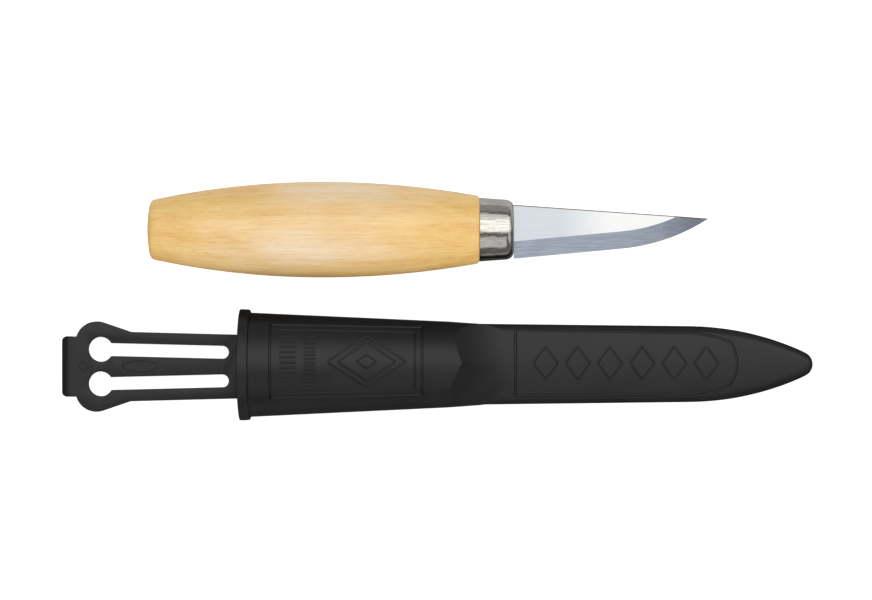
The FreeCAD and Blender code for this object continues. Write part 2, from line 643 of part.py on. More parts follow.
def lip_profile(body):
    """The end tab from the side: it bends over and comes down to the table."""
    sketch = new_sketch(body, "lip_outline", "XZ_Plane")
    top = size("strap_height") + size("strap_thickness")
    under = size("strap_height")
    end = -size("strap_length")
    bend, thickness = size("lip_bend"), size("lip_thickness")
    inner = bend - thickness
    centre = Vector(end + bend, top - bend, 0)
    start = Vector(-value(TAB_ROOT), top, 0)
    up = Vector(0, 0, 1)
    sketch.addGeometry(Part.LineSegment(start, Vector(centre.x, top, 0)))
    sketch.addGeometry(Part.ArcOfCircle(Part.Circle(centre, up, bend), math.pi / 2, math.pi))
    sketch.addGeometry(Part.LineSegment(Vector(end, centre.y, 0), Vector(end, 0, 0)))
    sketch.addGeometry(Part.LineSegment(Vector(end, 0, 0), Vector(end + thickness, 0, 0)))
    # The inside of the bend is eased so that it meets the strap's underside.
    knee = Vector(end + thickness, under - inner, 0)
    sketch.addGeometry(Part.LineSegment(Vector(end + thickness, 0, 0), knee))
    easing = Part.Circle(Vector(knee.x + inner, knee.y, 0), up, inner)
    sketch.addGeometry(Part.ArcOfCircle(easing, math.pi / 2, math.pi))
    sketch.addGeometry(Part.LineSegment(Vector(knee.x + inner, under, 0), Vector(start.x, under, 0)))
    sketch.addGeometry(Part.LineSegment(Vector(start.x, under, 0), start))
    flat, outer, face, foot, back, ease, underside, root = range(8)
    join = sketch.addConstraint
    join(Sketcher.Constraint("Tangent", flat, 2, outer, 1))
    join(Sketcher.Constraint("Tangent", outer, 2, face, 1))
    join(Sketcher.Constraint("Coincident", face, 2, foot, 1))
    join(Sketcher.Constraint("Coincident", foot, 2, back, 1))
    join(Sketcher.Constraint("Tangent", back, 2, ease, 2))
    join(Sketcher.Constraint("Tangent", ease, 1, underside, 1))
    join(Sketcher.Constraint("Coincident", underside, 2, root, 1))
    join(Sketcher.Constraint("Coincident", root, 2, flat, 1))
    join(Sketcher.Constraint("Horizontal", flat))
    join(Sketcher.Constraint("Horizontal", foot))
    join(Sketcher.Constraint("Vertical", back))
    join(Sketcher.Constraint("Vertical", face))
    join(Sketcher.Constraint("Horizontal", underside))
    join(Sketcher.Constraint("Vertical", root))
    bind(sketch, f"-{TAB_ROOT}", "DistanceX", -1, 1, flat, 1)
    bind(sketch, "dims.strap_height + dims.strap_thickness", "DistanceY", -1, 1, flat, 1)
    bind(sketch, "dims.lip_bend", "Radius", outer)
    bind(sketch, "-dims.strap_length", "DistanceX", -1, 1, face, 2)
    bind(sketch, "0", "DistanceY", -1, 1, face, 2)
    bind(sketch, "dims.lip_thickness", "DistanceX", foot, 1, foot, 2)
    bind(sketch, "dims.lip_bend - dims.lip_thickness", "Radius", ease)
    bind(sketch, "dims.strap_height", "DistanceY", -1, 1, underside, 2)
    return sketch


def make_belt_strap():
    body = new_body("belt_strap", STRAP_PLACE)
    extrude(body, "Pad", "strap_plate", strap_plan(body), "dims.strap_thickness")
    extrude(body, "Pad", "end_lip", lip_profile(body), "dims.tab_width", side="Symmetric")

    flange_foot = "dims.hinge_height + dims.bead_radius + dims.bead_gap"
    flange = polygon(body, "root_flange_outline", "XZ_Plane", "0", [
        ("-dims.root_gap", flange_foot),
        ("-dims.root_gap", "dims.strap_height + dims.strap_thickness/2"),
        ("-dims.root_gap - dims.root_flange", "dims.strap_height + dims.strap_thickness/2"),
        ("-dims.root_gap - dims.root_flange", flange_foot),
    ])
    extrude(body, "Pad", "root_flange", flange, "dims.strap_root_width - 2*dims.bead_gap", side="Symmetric")

    holes = [("-dims.button_hole_station", f"{side}dims.button_hole_spacing/2") for side in ("", "-")]
    top = "dims.strap_height + dims.strap_thickness"
    hole_sketch = circles(body, "button_hole_outlines", "XY_Plane", top, holes, "dims.button_hole_radius")
    extrude(body, "Pocket", "button_holes", hole_sketch, "dims.strap_thickness + dims.cut_spare")
    for name, side in (("high", 1), ("low", -1)):
        slot_sketch = keyhole_slot(body, f"{name}_slot_outline", side, top)
        extrude(body, "Pocket", f"{name}_slot", slot_sketch, "dims.strap_thickness + dims.cut_spare")
    return body


def keyhole_slot(body, name, side, height):
    """A slot with round ends, from the middle of a button hole to its end near the root."""
    sketch = new_sketch(body, name, "XY_Plane", height)
    outer = Vector(-size("button_hole_station"), side * size("button_hole_spacing") / 2, 0)
    inner = Vector(-size("slot_station"), side * size("slot_root_spacing") / 2, 0)
    radius = size("slot_width") / 2
    along = inner.sub(outer).normalize()
    across = Vector(-along.y, along.x, 0).multiply(radius)
    heading = math.atan2(along.y, along.x)
    up = Vector(0, 0, 1)
    sketch.addGeometry(Part.LineSegment(outer.sub(across), inner.sub(across)))
    quarter = math.pi / 2
    sketch.addGeometry(Part.ArcOfCircle(Part.Circle(inner, up, radius), heading - quarter, heading + quarter))
    sketch.addGeometry(Part.LineSegment(inner.add(across), outer.add(across)))
    sketch.addGeometry(Part.ArcOfCircle(Part.Circle(outer, up, radius), heading + quarter, heading + 3 * quarter))
    for first, second in ((0, 1), (1, 2), (2, 3), (3, 0)):
        sketch.addConstraint(Sketcher.Constraint("Tangent", first, 2, second, 1))
    sketch.addConstraint(Sketcher.Constraint("Equal", 1, 3))
    sign = "" if side > 0 else "-"
    bind(sketch, "-dims.slot_station", "DistanceX", -1, 1, 1, 3)
    bind(sketch, f"{sign}dims.slot_root_spacing/2", "DistanceY", -1, 1, 1, 3)
    bind(sketch, "-dims.button_hole_station", "DistanceX", -1, 1, 3, 3)
    bind(sketch, f"{sign}dims.button_hole_spacing/2", "DistanceY", -1, 1, 3, 3)
    bind(sketch, "dims.slot_width/2", "Radius", 1)
    return sketch


# ---------------------------------------------------------------- build, check and export
pieces = [
    make_handle(),
    make_glue(),
    make_ferrule(),
    make_blade(),
    make_sheath_shell(),
    make_belt_strap(),
]
doc.recompute()

for item in doc.Objects:
    bad = [state for state in item.State if state in ("Invalid", "Error")]
    assert not bad, f"{item.Label} is {bad}"
for piece in pieces:
    shape = piece.Shape
    assert not shape.isNull() and shape.isValid(), f"{piece.Label} is not a valid shape"
    assert len(shape.Solids) == 1, f"{piece.Label} has {len(shape.Solids)} solids"
    shape.exportStep(f"parts/{piece.Label}.step")
    print(piece.Label, round(shape.Volume), "mm3")
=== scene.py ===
import math

import bmesh
import bpy
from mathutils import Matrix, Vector


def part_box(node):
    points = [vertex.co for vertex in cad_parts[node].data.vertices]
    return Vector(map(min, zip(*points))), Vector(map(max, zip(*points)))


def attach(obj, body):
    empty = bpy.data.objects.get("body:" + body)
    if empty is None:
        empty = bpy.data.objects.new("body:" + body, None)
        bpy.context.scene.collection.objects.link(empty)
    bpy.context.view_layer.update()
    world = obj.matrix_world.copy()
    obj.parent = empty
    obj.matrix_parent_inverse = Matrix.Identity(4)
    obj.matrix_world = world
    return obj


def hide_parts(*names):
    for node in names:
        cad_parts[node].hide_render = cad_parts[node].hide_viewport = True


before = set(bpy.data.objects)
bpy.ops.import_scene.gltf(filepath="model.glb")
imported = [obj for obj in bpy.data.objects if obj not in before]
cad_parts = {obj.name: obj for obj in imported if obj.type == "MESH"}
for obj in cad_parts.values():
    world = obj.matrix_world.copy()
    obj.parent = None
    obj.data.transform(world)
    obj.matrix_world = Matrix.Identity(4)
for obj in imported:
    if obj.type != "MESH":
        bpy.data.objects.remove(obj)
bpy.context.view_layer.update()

mm = 0.001
print("frame loaded")


# small helpers that every piece uses

def deselectAll():
    bpy.ops.object.select_all(action="DESELECT")


def makeActive(piece):
    deselectAll()
    piece.select_set(True)
    bpy.context.view_layer.objects.active = piece


def applyModifier(piece, kind, **settings):
    modifier = piece.modifiers.new(kind.lower(), kind)
    for name, value in settings.items():
        setattr(modifier, name, value)
    makeActive(piece)
    bpy.ops.object.modifier_apply(modifier=modifier.name)


def cutWith(piece, cutter, operation="DIFFERENCE"):
    applyModifier(piece, "BOOLEAN", object=cutter, operation=operation, solver="MANIFOLD")
    bpy.data.objects.remove(cutter)


def loftRings(name, rings):
    # the first ring is a filled circle
    # each next one is extruded from the last and moved into shape
    deselectAll()
    bpy.ops.mesh.primitive_circle_add(vertices=len(rings[0]), radius=0.01, fill_type="NGON")
    piece = bpy.context.active_object
    piece.name = name
    bpy.ops.object.mode_set(mode="EDIT")
    bpy.ops.mesh.select_all(action="SELECT")
    last = None
    for ring in rings:
        if last is not None:
            bpy.ops.mesh.extrude_region_move()
        mesh = bmesh.from_edit_mesh(piece.data)
        corners = list([face for face in mesh.faces if face.select][0].verts)
        first = 0
        if last is not None:
            first = min(range(len(corners)), key=lambda i: (corners[i].co - Vector(last[0])).length)
        for step, place in enumerate(ring):
            corners[(first + step) % len(corners)].co = place
        bmesh.update_edit_mesh(piece.data)
        last = ring
    bpy.ops.mesh.select_all(action="SELECT")
    bpy.ops.mesh.normals_make_consistent(inside=False)
    bpy.ops.object.mode_set(mode="OBJECT")
    return piece


def smoothPiece(piece, angle=35):
    makeActive(piece)
    bpy.ops.object.shade_smooth_by_angle(angle=math.radians(angle))


def finishPiece(piece, body, node, material):
    piece.data.name = piece.name
    piece.data.materials.clear()
    piece.data.materials.append(material)
    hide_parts(node)
    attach(piece, body)


def linearColour(hexText):
    # sRGB hex to the linear numbers that the shader works in
    parts = [int(hexText[i:i + 2], 16) / 255 for i in (1, 3, 5)]
    return tuple([p / 12.92 if p <= 0.04045 else ((p + 0.055) / 1.055) ** 2.4 for p in parts] + [1.0])


def newMaterial(name):
    material = bpy.data.materials.new(name)
    material.use_nodes = True
    tree = material.node_tree
    return material, tree, tree.nodes["Principled BSDF"]


def addNode(tree, kind, links=None, values=None, **settings):
    added = tree.nodes.new(kind)
    for name, value in settings.items():
        setattr(added, name, value)
    for name, value in (values or {}).items():
        added.inputs[name].default_value = value
    for name, socket in (links or {}).items():
        tree.links.new(socket, added.inputs[name])
    return added


def setRamp(ramp, stops):
    elements = ramp.color_ramp.elements
    while len(elements) < len(stops):
        elements.new(0.5)
    for element, (place, hexText) in zip(elements, stops):
        element.position = place
        element.color = linearColour(hexText)


# materials

def birchWood():
    # birch, turned, sanded along the grain and thinly lacquered: pale honey with fine
    # streaks along its length, pale patches of painted sheen in the middle and a soft sheen
    material, tree, shader = newMaterial("birch_lacquered")
    low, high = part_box("handle")
    middle = (low + high) / 2
    place = addNode(tree, "ShaderNodeTexCoord").outputs["Object"]
    # fibres 0.5 mm wide and about 30 mm long
    fibreMap = addNode(tree, "ShaderNodeMapping", {"Vector": place}, {"Scale": (34, 1500, 1500)})
    fibres = addNode(tree, "ShaderNodeTexNoise", {"Vector": fibreMap.outputs[0]},
                     {"Scale": 1.0, "Detail": 3.0, "Roughness": 0.6, "Distortion": 0.25})
    # growth rings about 3 mm apart
    ringMap = addNode(tree, "ShaderNodeMapping", {"Vector": place}, {"Scale": (9, 330, 330)})
    rings = addNode(tree, "ShaderNodeTexNoise", {"Vector": ringMap.outputs[0]},
                    {"Scale": 1.0, "Detail": 2.0, "Roughness": 0.5, "Distortion": 0.4})
    # cloudy figure, patches of 20 mm by 8 mm
    cloudMap = addNode(tree, "ShaderNodeMapping", {"Vector": place}, {"Scale": (48, 120, 120)})
    clouds = addNode(tree, "ShaderNodeTexNoise", {"Vector": cloudMap.outputs[0]},
                     {"Scale": 1.0, "Detail": 4.0, "Roughness": 0.55})
    # painted sheen: a long pale patch below the middle of the barrel, and a fainter one above it, standing
    # in for the lacquer's highlight
    paintedSheen = None
    for along, across, length, width, amount in ((0.050, -0.0055, 0.054, 0.0160, 2.7),
                                                 (0.064, 0.0120, 0.052, 0.0130, 2.6)):
        shift = (-(low.x + along) / length, -(middle.y + across) / width, -(high.z - 0.002) / 0.03)
        sheenMap = addNode(tree, "ShaderNodeMapping", {"Vector": place},
                         {"Location": shift, "Scale": (1 / length, 1 / width, 1 / 0.03)})
        patch = addNode(tree, "ShaderNodeTexGradient", {"Vector": sheenMap.outputs[0]},
                        gradient_type="QUADRATIC_SPHERE")
        links = {0: patch.outputs["Fac"]}
        if paintedSheen is not None:
            links[2] = paintedSheen.outputs[0]
        paintedSheen = addNode(tree, "ShaderNodeMath", links, {1: amount}, operation="MULTIPLY_ADD")
        if len(links) == 1:
            paintedSheen.inputs[2].default_value = 0.0
    streaks = addNode(tree, "ShaderNodeMath", {0: fibres.outputs["Fac"]}, {1: 0.45},
                      operation="MULTIPLY")
    bands = addNode(tree, "ShaderNodeMath", {0: rings.outputs["Fac"], 2: streaks.outputs[0]}, {1: 0.30},
                    operation="MULTIPLY_ADD")
    figure = addNode(tree, "ShaderNodeMath", {0: clouds.outputs["Fac"], 2: bands.outputs[0]}, {1: 0.25},
                     operation="MULTIPLY_ADD")
    tone = addNode(tree, "ShaderNodeValToRGB", {"Fac": figure.outputs[0]})
    setRamp(tone, [(0.38, "#c49751"), (0.47, "#cba45d"), (0.55, "#cfab66"), (0.64, "#d4b475")])
    # the pale colour of the painted sheen patches
    sheenTone = addNode(tree, "ShaderNodeValToRGB", {"Fac": figure.outputs[0]})
    setRamp(sheenTone, [(0.36, "#caae85"), (0.50, "#d0b895"), (0.62, "#d2bfa3")])
    # how much painted sheen each spot gets, broken up by the cloudy figure
    sheenAmount = addNode(tree, "ShaderNodeMath", {0: paintedSheen.outputs[0], 1: clouds.outputs["Fac"]}, {},
                        operation="MULTIPLY", use_clamp=True)
    wood = addNode(tree, "ShaderNodeMix", {"Factor": sheenAmount.outputs[0]}, {}, data_type="RGBA")
    tree.links.new(tone.outputs["Color"], wood.inputs[6])
    tree.links.new(sheenTone.outputs["Color"], wood.inputs[7])
    # pores: short dark dashes 0.25 mm wide
    poreMap = addNode(tree, "ShaderNodeMapping", {"Vector": place}, {"Scale": (230, 3600, 3600)})
    pores = addNode(tree, "ShaderNodeTexNoise", {"Vector": poreMap.outputs[0]},
                    {"Scale": 1.0, "Detail": 1.0})
    poreRamp = addNode(tree, "ShaderNodeValToRGB", {"Fac": pores.outputs["Fac"]})
    setRamp(poreRamp, [(0.28, "#e8d8c0"), (0.40, "#ffffff")])
    pored = addNode(tree, "ShaderNodeMix", {}, {}, data_type="RGBA", blend_type="MULTIPLY")
    pored.inputs[0].default_value = 0.6
    tree.links.new(wood.outputs[2], pored.inputs[6])
    tree.links.new(poreRamp.outputs["Color"], pored.inputs[7])
    tree.links.new(pored.outputs[2], shader.inputs["Base Color"])
    gloss = addNode(tree, "ShaderNodeMapRange", {"Value": fibres.outputs["Fac"]},
                    {"From Min": 0.3, "From Max": 0.7, "To Min": 0.36, "To Max": 0.5})
    tree.links.new(gloss.outputs[0], shader.inputs["Roughness"])
    shader.inputs["Coat Weight"].default_value = 0.2
    shader.inputs["Coat Roughness"].default_value = 0.35
    relief = addNode(tree, "ShaderNodeBump", {"Height": fibres.outputs["Fac"]},
                     {"Strength": 0.25, "Distance": 0.00004})
    tree.links.new(relief.outputs[0], shader.inputs["Normal"])
    return material


def blackPlastic():
    # polypropylene, injection moulded in a finely spark-eroded tool: near black, satin,
    # with an even fine grain and slightly glossier patches from handling
    material, tree, shader = newMaterial("polypropylene_moulded")
    place = addNode(tree, "ShaderNodeTexCoord").outputs["Object"]
    # grain of 0.35 mm, a little coarser than the real one so that it shows
    grain = addNode(tree, "ShaderNodeTexNoise", {"Vector": place}, {"Scale": 2800.0, "Detail": 2.0})
    patches = addNode(tree, "ShaderNodeTexNoise", {"Vector": place}, {"Scale": 70.0, "Detail": 3.0})
    tone = addNode(tree, "ShaderNodeValToRGB", {"Fac": patches.outputs["Fac"]})
    setRamp(tone, [(0.35, "#0c0c0d"), (0.65, "#121313")])
    tree.links.new(tone.outputs["Color"], shader.inputs["Base Color"])
    gloss = addNode(tree, "ShaderNodeMapRange", {"Value": patches.outputs["Fac"]},
                    {"From Min": 0.3, "From Max": 0.7, "To Min": 0.36, "To Max": 0.48})
    tree.links.new(gloss.outputs[0], shader.inputs["Roughness"])
    shader.inputs["IOR"].default_value = 1.49
    shader.inputs["Specular IOR Level"].default_value = 0.27
    relief = addNode(tree, "ShaderNodeBump", {"Height": grain.outputs["Fac"]},
                     {"Strength": 0.35, "Distance": 0.00003})
    tree.links.new(relief.outputs[0], shader.inputs["Normal"])
    return material


def ferruleSteel():
    # mild steel sheet, deep drawn and tumbled: warm grey, with smeared draw marks along its
    # length that break up the edge of a reflection
    material, tree, shader = newMaterial("steel_drawn")
    place = addNode(tree, "ShaderNodeTexCoord").outputs["Object"]
    # draw marks 0.4 mm wide and 5 mm long
    markMap = addNode(tree, "ShaderNodeMapping", {"Vector": place}, {"Scale": (230, 2200, 2200)})
    marks = addNode(tree, "ShaderNodeTexNoise", {"Vector": markMap.outputs[0]},
                    {"Scale": 1.0, "Detail": 4.0, "Roughness": 0.65})
    # shallow dents of 3 mm
    dents = addNode(tree, "ShaderNodeTexNoise", {"Vector": place}, {"Scale": 330.0, "Detail": 1.0})
    tone = addNode(tree, "ShaderNodeValToRGB", {"Fac": marks.outputs["Fac"]})
    setRamp(tone, [(0.3, "#8c8882"), (0.52, "#a8a49d"), (0.7, "#b5b2ab")])
    tree.links.new(tone.outputs["Color"], shader.inputs["Base Color"])
    shader.inputs["Metallic"].default_value = 1.0
    gloss = addNode(tree, "ShaderNodeMapRange", {"Value": marks.outputs["Fac"]},
                    {"From Min": 0.3, "From Max": 0.7, "To Min": 0.09, "To Max": 0.2})
    tree.links.new(gloss.outputs[0], shader.inputs["Roughness"])
    rough = addNode(tree, "ShaderNodeBump", {"Height": marks.outputs["Fac"]},
                    {"Strength": 0.35, "Distance": 0.00004})
    wavy = addNode(tree, "ShaderNodeBump", {"Height": dents.outputs["Fac"], "Normal": rough.outputs[0]},
                   {"Strength": 0.5, "Distance": 0.00015})
    tree.links.new(wavy.outputs[0], shader.inputs["Normal"])
    return material


# sizes of the blade, in mm; its material reads them too
bladeSizes = {
    "length": 61.5,
    "halfThick": 1.35,
    "spine": 7.8,
    "point": 3.5,
    "heel": 9.2,
    "belly": 5.98,
    "bellyLength": 27.2,
    "bevel": 5.4,
    "edgeHalf": 0.04,       # the edge is this blunt, so that it is closed
    "spineEase": 0.28,
    "step": 0.7,
    "tangLength": 86.0,
    "tangHalf": 3.7,
    "tangEndHalf": 2.5,
}


def bladeSteel():
    # laminated carbon steel, flats polished and bevels ground on a fine belt: bright flats,
    # and blue-grey bevels with grinding lines that lean a little
    material, tree, shader = newMaterial("carbon_steel_ground")
    low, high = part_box("blade")
    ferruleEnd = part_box("ferrule")[1].x
    place = addNode(tree, "ShaderNodeTexCoord").outputs["Object"]
    parts = addNode(tree, "ShaderNodeSeparateXYZ", {"Vector": place})
    depth = addNode(tree, "ShaderNodeMath", {0: parts.outputs["Z"]}, {1: (low.z + high.z) / 2},
                    operation="SUBTRACT")
    away = addNode(tree, "ShaderNodeMath", {0: depth.outputs[0]}, {}, operation="ABSOLUTE")
    half = (high.z - low.z) / 2
    # 1 on the flats, 0 on the bevels
    flat = addNode(tree, "ShaderNodeMapRange", {"Value": away.outputs[0]},
                   {"From Min": half - 0.00003, "From Max": half - 0.000008})
    # polishing lines 0.15 mm apart along the flats
    fineMap = addNode(tree, "ShaderNodeMapping", {"Vector": place}, {"Scale": (60, 5200, 5200)})
    fine = addNode(tree, "ShaderNodeTexNoise", {"Vector": fineMap.outputs[0]},
                   {"Scale": 1.0, "Detail": 3.0})
    # belt lines 0.3 mm apart, leaning 9 degrees
    beltMap = addNode(tree, "ShaderNodeMapping", {"Vector": place},
                      {"Rotation": (0, 0, math.radians(9)), "Scale": (110, 3000, 3000)})
    belt = addNode(tree, "ShaderNodeTexNoise", {"Vector": beltMap.outputs[0]},
                   {"Scale": 1.0, "Detail": 4.0, "Roughness": 0.65})
    # the flats are painted darker near the ferrule: painted shade where the ferrule shadows them
    ferruleShadeFade = addNode(tree, "ShaderNodeMapRange", {"Value": parts.outputs["X"]},
                   {"From Min": ferruleEnd + 0.015, "From Max": ferruleEnd + 0.030,
                    "To Min": 0.0, "To Max": 0.8})
    # polishing lines, lifted out of the painted shade away from the ferrule
    polishAndShade = addNode(tree, "ShaderNodeMath", {0: fine.outputs["Fac"], 2: ferruleShadeFade.outputs[0]}, {1: 0.25},
                    operation="MULTIPLY_ADD")
    flatTone = addNode(tree, "ShaderNodeValToRGB", {"Fac": polishAndShade.outputs[0]})
    setRamp(flatTone, [(0.05, "#91969a"), (0.95, "#ababaa")])
    bevelTone = addNode(tree, "ShaderNodeValToRGB", {"Fac": belt.outputs["Fac"]})
    setRamp(bevelTone, [(0.32, "#929aa6"), (0.52, "#a7aeb9"), (0.7, "#bac0c8")])
    # the bevels darken towards the point, where they turn away from the light
    tip = addNode(tree, "ShaderNodeMapRange", {"Value": parts.outputs["X"]},
                  {"From Min": high.x - 0.016, "From Max": high.x - 0.004, "To Min": 0.0, "To Max": 0.8})
    turned = addNode(tree, "ShaderNodeMix", {"Factor": tip.outputs[0]}, {}, data_type="RGBA")
    tree.links.new(bevelTone.outputs["Color"], turned.inputs[6])
    turned.inputs[7].default_value = linearColour("#7f838f")
    tone = addNode(tree, "ShaderNodeMix", {"Factor": flat.outputs[0]}, {}, data_type="RGBA")
    tree.links.new(turned.outputs[2], tone.inputs[6])
    tree.links.new(flatTone.outputs["Color"], tone.inputs[7])
    # the spine is left as it was sheared, dull and brown
    fall = (bladeSizes["spine"] - bladeSizes["point"]) / bladeSizes["length"]
    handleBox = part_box("handle")
    level = (handleBox[0].y + handleBox[1].y) / 2 + bladeSizes["spine"] * mm + fall * ferruleEnd
    height = addNode(tree, "ShaderNodeMath", {0: parts.outputs["X"], 2: parts.outputs["Y"]}, {1: fall},
                     operation="MULTIPLY_ADD")
    spine = addNode(tree, "ShaderNodeMapRange", {"Value": height.outputs[0]},
                    {"From Min": level - 0.00034, "From Max": level - 0.00026})
    backed = addNode(tree, "ShaderNodeMix", {"Factor": spine.outputs[0]}, {}, data_type="RGBA")
    tree.links.new(tone.outputs[2], backed.inputs[6])
    backed.inputs[7].default_value = linearColour("#6d665c")
    tree.links.new(backed.outputs[2], shader.inputs["Base Color"])
    shader.inputs["Metallic"].default_value = 1.0
    gloss = addNode(tree, "ShaderNodeMapRange", {"Value": flat.outputs[0]},
                    {"From Min": 0.0, "From Max": 1.0, "To Min": 0.34, "To Max": 0.24})
    tree.links.new(gloss.outputs[0], shader.inputs["Roughness"])
    lines = addNode(tree, "ShaderNodeMix", {"Factor": flat.outputs[0]}, {}, data_type="FLOAT")
    tree.links.new(belt.outputs["Fac"], lines.inputs[2])
    tree.links.new(fine.outputs["Fac"], lines.inputs[3])
    relief = addNode(tree, "ShaderNodeBump", {"Height": lines.outputs[0]},
                     {"Strength": 0.2, "Distance": 0.00002})
    tree.links.new(relief.outputs[0], shader.inputs["Normal"])
    return material


def curedGlue():
    # epoxy, poured round the tang and cured: amber, with small trapped bubbles
    material, tree, shader = newMaterial("epoxy_cured")
    place = addNode(tree, "ShaderNodeTexCoord").outputs["Object"]
    bubbles = addNode(tree, "ShaderNodeTexVoronoi", {"Vector": place}, {"Scale": 900.0})
    tone = addNode(tree, "ShaderNodeValToRGB", {"Fac": bubbles.outputs["Distance"]})
    setRamp(tone, [(0.1, "#d9b878"), (0.4, "#b98d46")])
    tree.links.new(tone.outputs["Color"], shader.inputs["Base Color"])
    shader.inputs["Roughness"].default_value = 0.3
    return material


birch = birchWood()
plastic = blackPlastic()
drawnSteel = ferruleSteel()
groundSteel = bladeSteel()
glue = curedGlue()
print("materials made")


# where things lie
handleLow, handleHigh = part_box("handle")
sheathLow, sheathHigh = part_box("sheath_shell")
strapLow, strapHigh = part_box("belt_strap")
knifeY = (handleLow.y + handleHigh.y) / 2
knifeZ = (handleLow.z + handleHigh.z) / 2
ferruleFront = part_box("ferrule")[1].x


def knifeRing(station, halfWidth, halfDepth, count):
    # station in mm in front of the ferrule's front face
    ring = []
    for step in range(count):
        turn = 2 * math.pi * step / count
        ring.append((ferruleFront + station * mm,
                     knifeY + halfWidth * mm * math.cos(turn),
                     knifeZ + halfDepth * mm * math.sin(turn)))
    return ring


# handle: a turned barrel of oval section, its butt slightly domed
handleSizes = {
    "length": 104.6,
    "halfWidth": 15.125,
    "halfDepth": 12.0,
    "belly": 55.0,          # widest place, from the butt
    "rearRadius": 255.0,
    "frontRadius": 279.0,
    "buttRound": 1.9,
    "buttDome": 0.7,
    "frontEase": 0.45,
    "ferruleLength": 10.9,
    "tenonHalfWidth": 8.9,
    "boreRadius": 4.3,
    "boreLength": 90.0,
    "points": 64,
}


def handleRadius(station):
    sizes = handleSizes
    away = station - sizes["belly"]
    radius = sizes["rearRadius"] if away < 0 else sizes["frontRadius"]
    return sizes["halfWidth"] - (radius - math.sqrt(radius ** 2 - away ** 2))


def makeHandle():
    sizes = handleSizes
    shape = sizes["halfDepth"] / sizes["halfWidth"]
    butt = -(sizes["ferruleLength"] + sizes["length"])
    corner = handleRadius(sizes["buttRound"] + sizes["buttDome"])
    flatEdge = corner - sizes["buttRound"]
    profile = []
    for share in (0.12, 0.35, 0.6, 0.82, 0.97):
        profile.append((sizes["buttDome"] * share ** 2.2, flatEdge * share))
    for turn in (8, 30, 52, 75):
        lift = math.radians(turn)
        profile.append((sizes["buttDome"] + sizes["buttRound"] * (1 - math.cos(lift)),
                        flatEdge + sizes["buttRound"] * math.sin(lift)))
    station = 3.4
    while station < sizes["length"] - 2.5:
        profile.append((station, handleRadius(station)))
        station += 4.0
    end = sizes["length"]
    edge = handleRadius(end)
    ease = sizes["frontEase"]
    profile += [(end - 1.6, handleRadius(end - 1.6)), (end - 0.9, handleRadius(end - 0.9)),
                (end - 0.3, edge - 0.12), (end - 0.02, edge - ease), (end, edge - ease - 0.3),
                (end, sizes["tenonHalfWidth"] + 0.1), (end + 0.1, sizes["tenonHalfWidth"]),
                (end + 9.9, sizes["tenonHalfWidth"] - 0.65), (end + 10.1, sizes["tenonHalfWidth"] - 0.8),
                (end + 10.2, 5.2)]
    rings = []
    for station, half in profile:
        depth = half * shape if station < end - 0.01 or half > 9.3 else half * 0.8
        rings.append(knifeRing(butt + station, half, depth, sizes["points"]))
    handle = loftRings("handleBarrel", rings)
    applyModifier(handle, "SUBSURF", levels=1, render_levels=1)
    bore = loftRings("boreTool", [knifeRing(x, sizes["boreRadius"], sizes["boreRadius"], 32)
                                  for x in (-sizes["boreLength"], 1.0)])
    cutWith(handle, bore)
    smoothPiece(handle, 35)
    # the sheath doesn't mirror the handle, as if the two were photographed apart
    handle.visible_glossy = False
    finishPiece(handle, "knife", "handle", birch)


makeHandle()
print("handle made")


# ferrule: a drawn cup, rounded over at its front, with a slot for the tang
ferruleSizes = {
    "length": 10.9,
    "halfWidth": 10.1,
    "halfDepth": 8.0,
    "taper": 0.8,
    "round": 2.3,
    "wall": 0.9,
    "frontWall": 1.2,
    "rearEase": 0.15,
    "slotHeight": 7.6,
    "slotWidth": 2.9,
    "points": 64,
}


def makeFerrule():
    sizes = ferruleSizes
    length, corner, taper = sizes["length"], sizes["round"], sizes["taper"]

    def ringAt(station, inset, grow=0.0):
        lost = taper * (length + station) / length
        return knifeRing(station + grow, sizes["halfWidth"] - lost - inset,
                         sizes["halfDepth"] - lost - inset, sizes["points"])

    rings = [ringAt(-length, 1.2), ringAt(-length, sizes["rearEase"]), ringAt(-length + 0.1, 0.02)]
    rings += [ringAt(-length + 0.4, 0.0), ringAt(-length + 2.5, 0.0), ringAt(-length + 5.5, 0.0),
              ringAt(-corner - 1.6, 0.0), ringAt(-corner - 0.4, 0.0)]
    for turn in (10, 28, 46, 64, 82):
        lift = math.radians(turn)
        rings.append(ringAt(-corner + corner * math.sin(lift), corner * (1 - math.cos(lift))))
    rings += [ringAt(0, corner + 0.5), ringAt(0, corner + 1.6), ringAt(0, 5.4)]
    ferrule = loftRings("ferruleCup", rings)
    applyModifier(ferrule, "SUBSURF", levels=2, render_levels=2)
    inside = loftRings("insideTool", [ringAt(-length - 1, sizes["wall"]),
                                      ringAt(-sizes["frontWall"], sizes["wall"])])
    cutWith(ferrule, inside)
    deselectAll()
    bpy.ops.mesh.primitive_cube_add(size=1, location=(ferruleFront, knifeY, knifeZ), scale=(
        0.006, sizes["slotHeight"] * mm, sizes["slotWidth"] * mm))
    cutWith(ferrule, bpy.context.active_object)
    smoothPiece(ferrule, 40)
    finishPiece(ferrule, "knife", "ferrule", drawnSteel)


makeFerrule()
print("ferrule made")


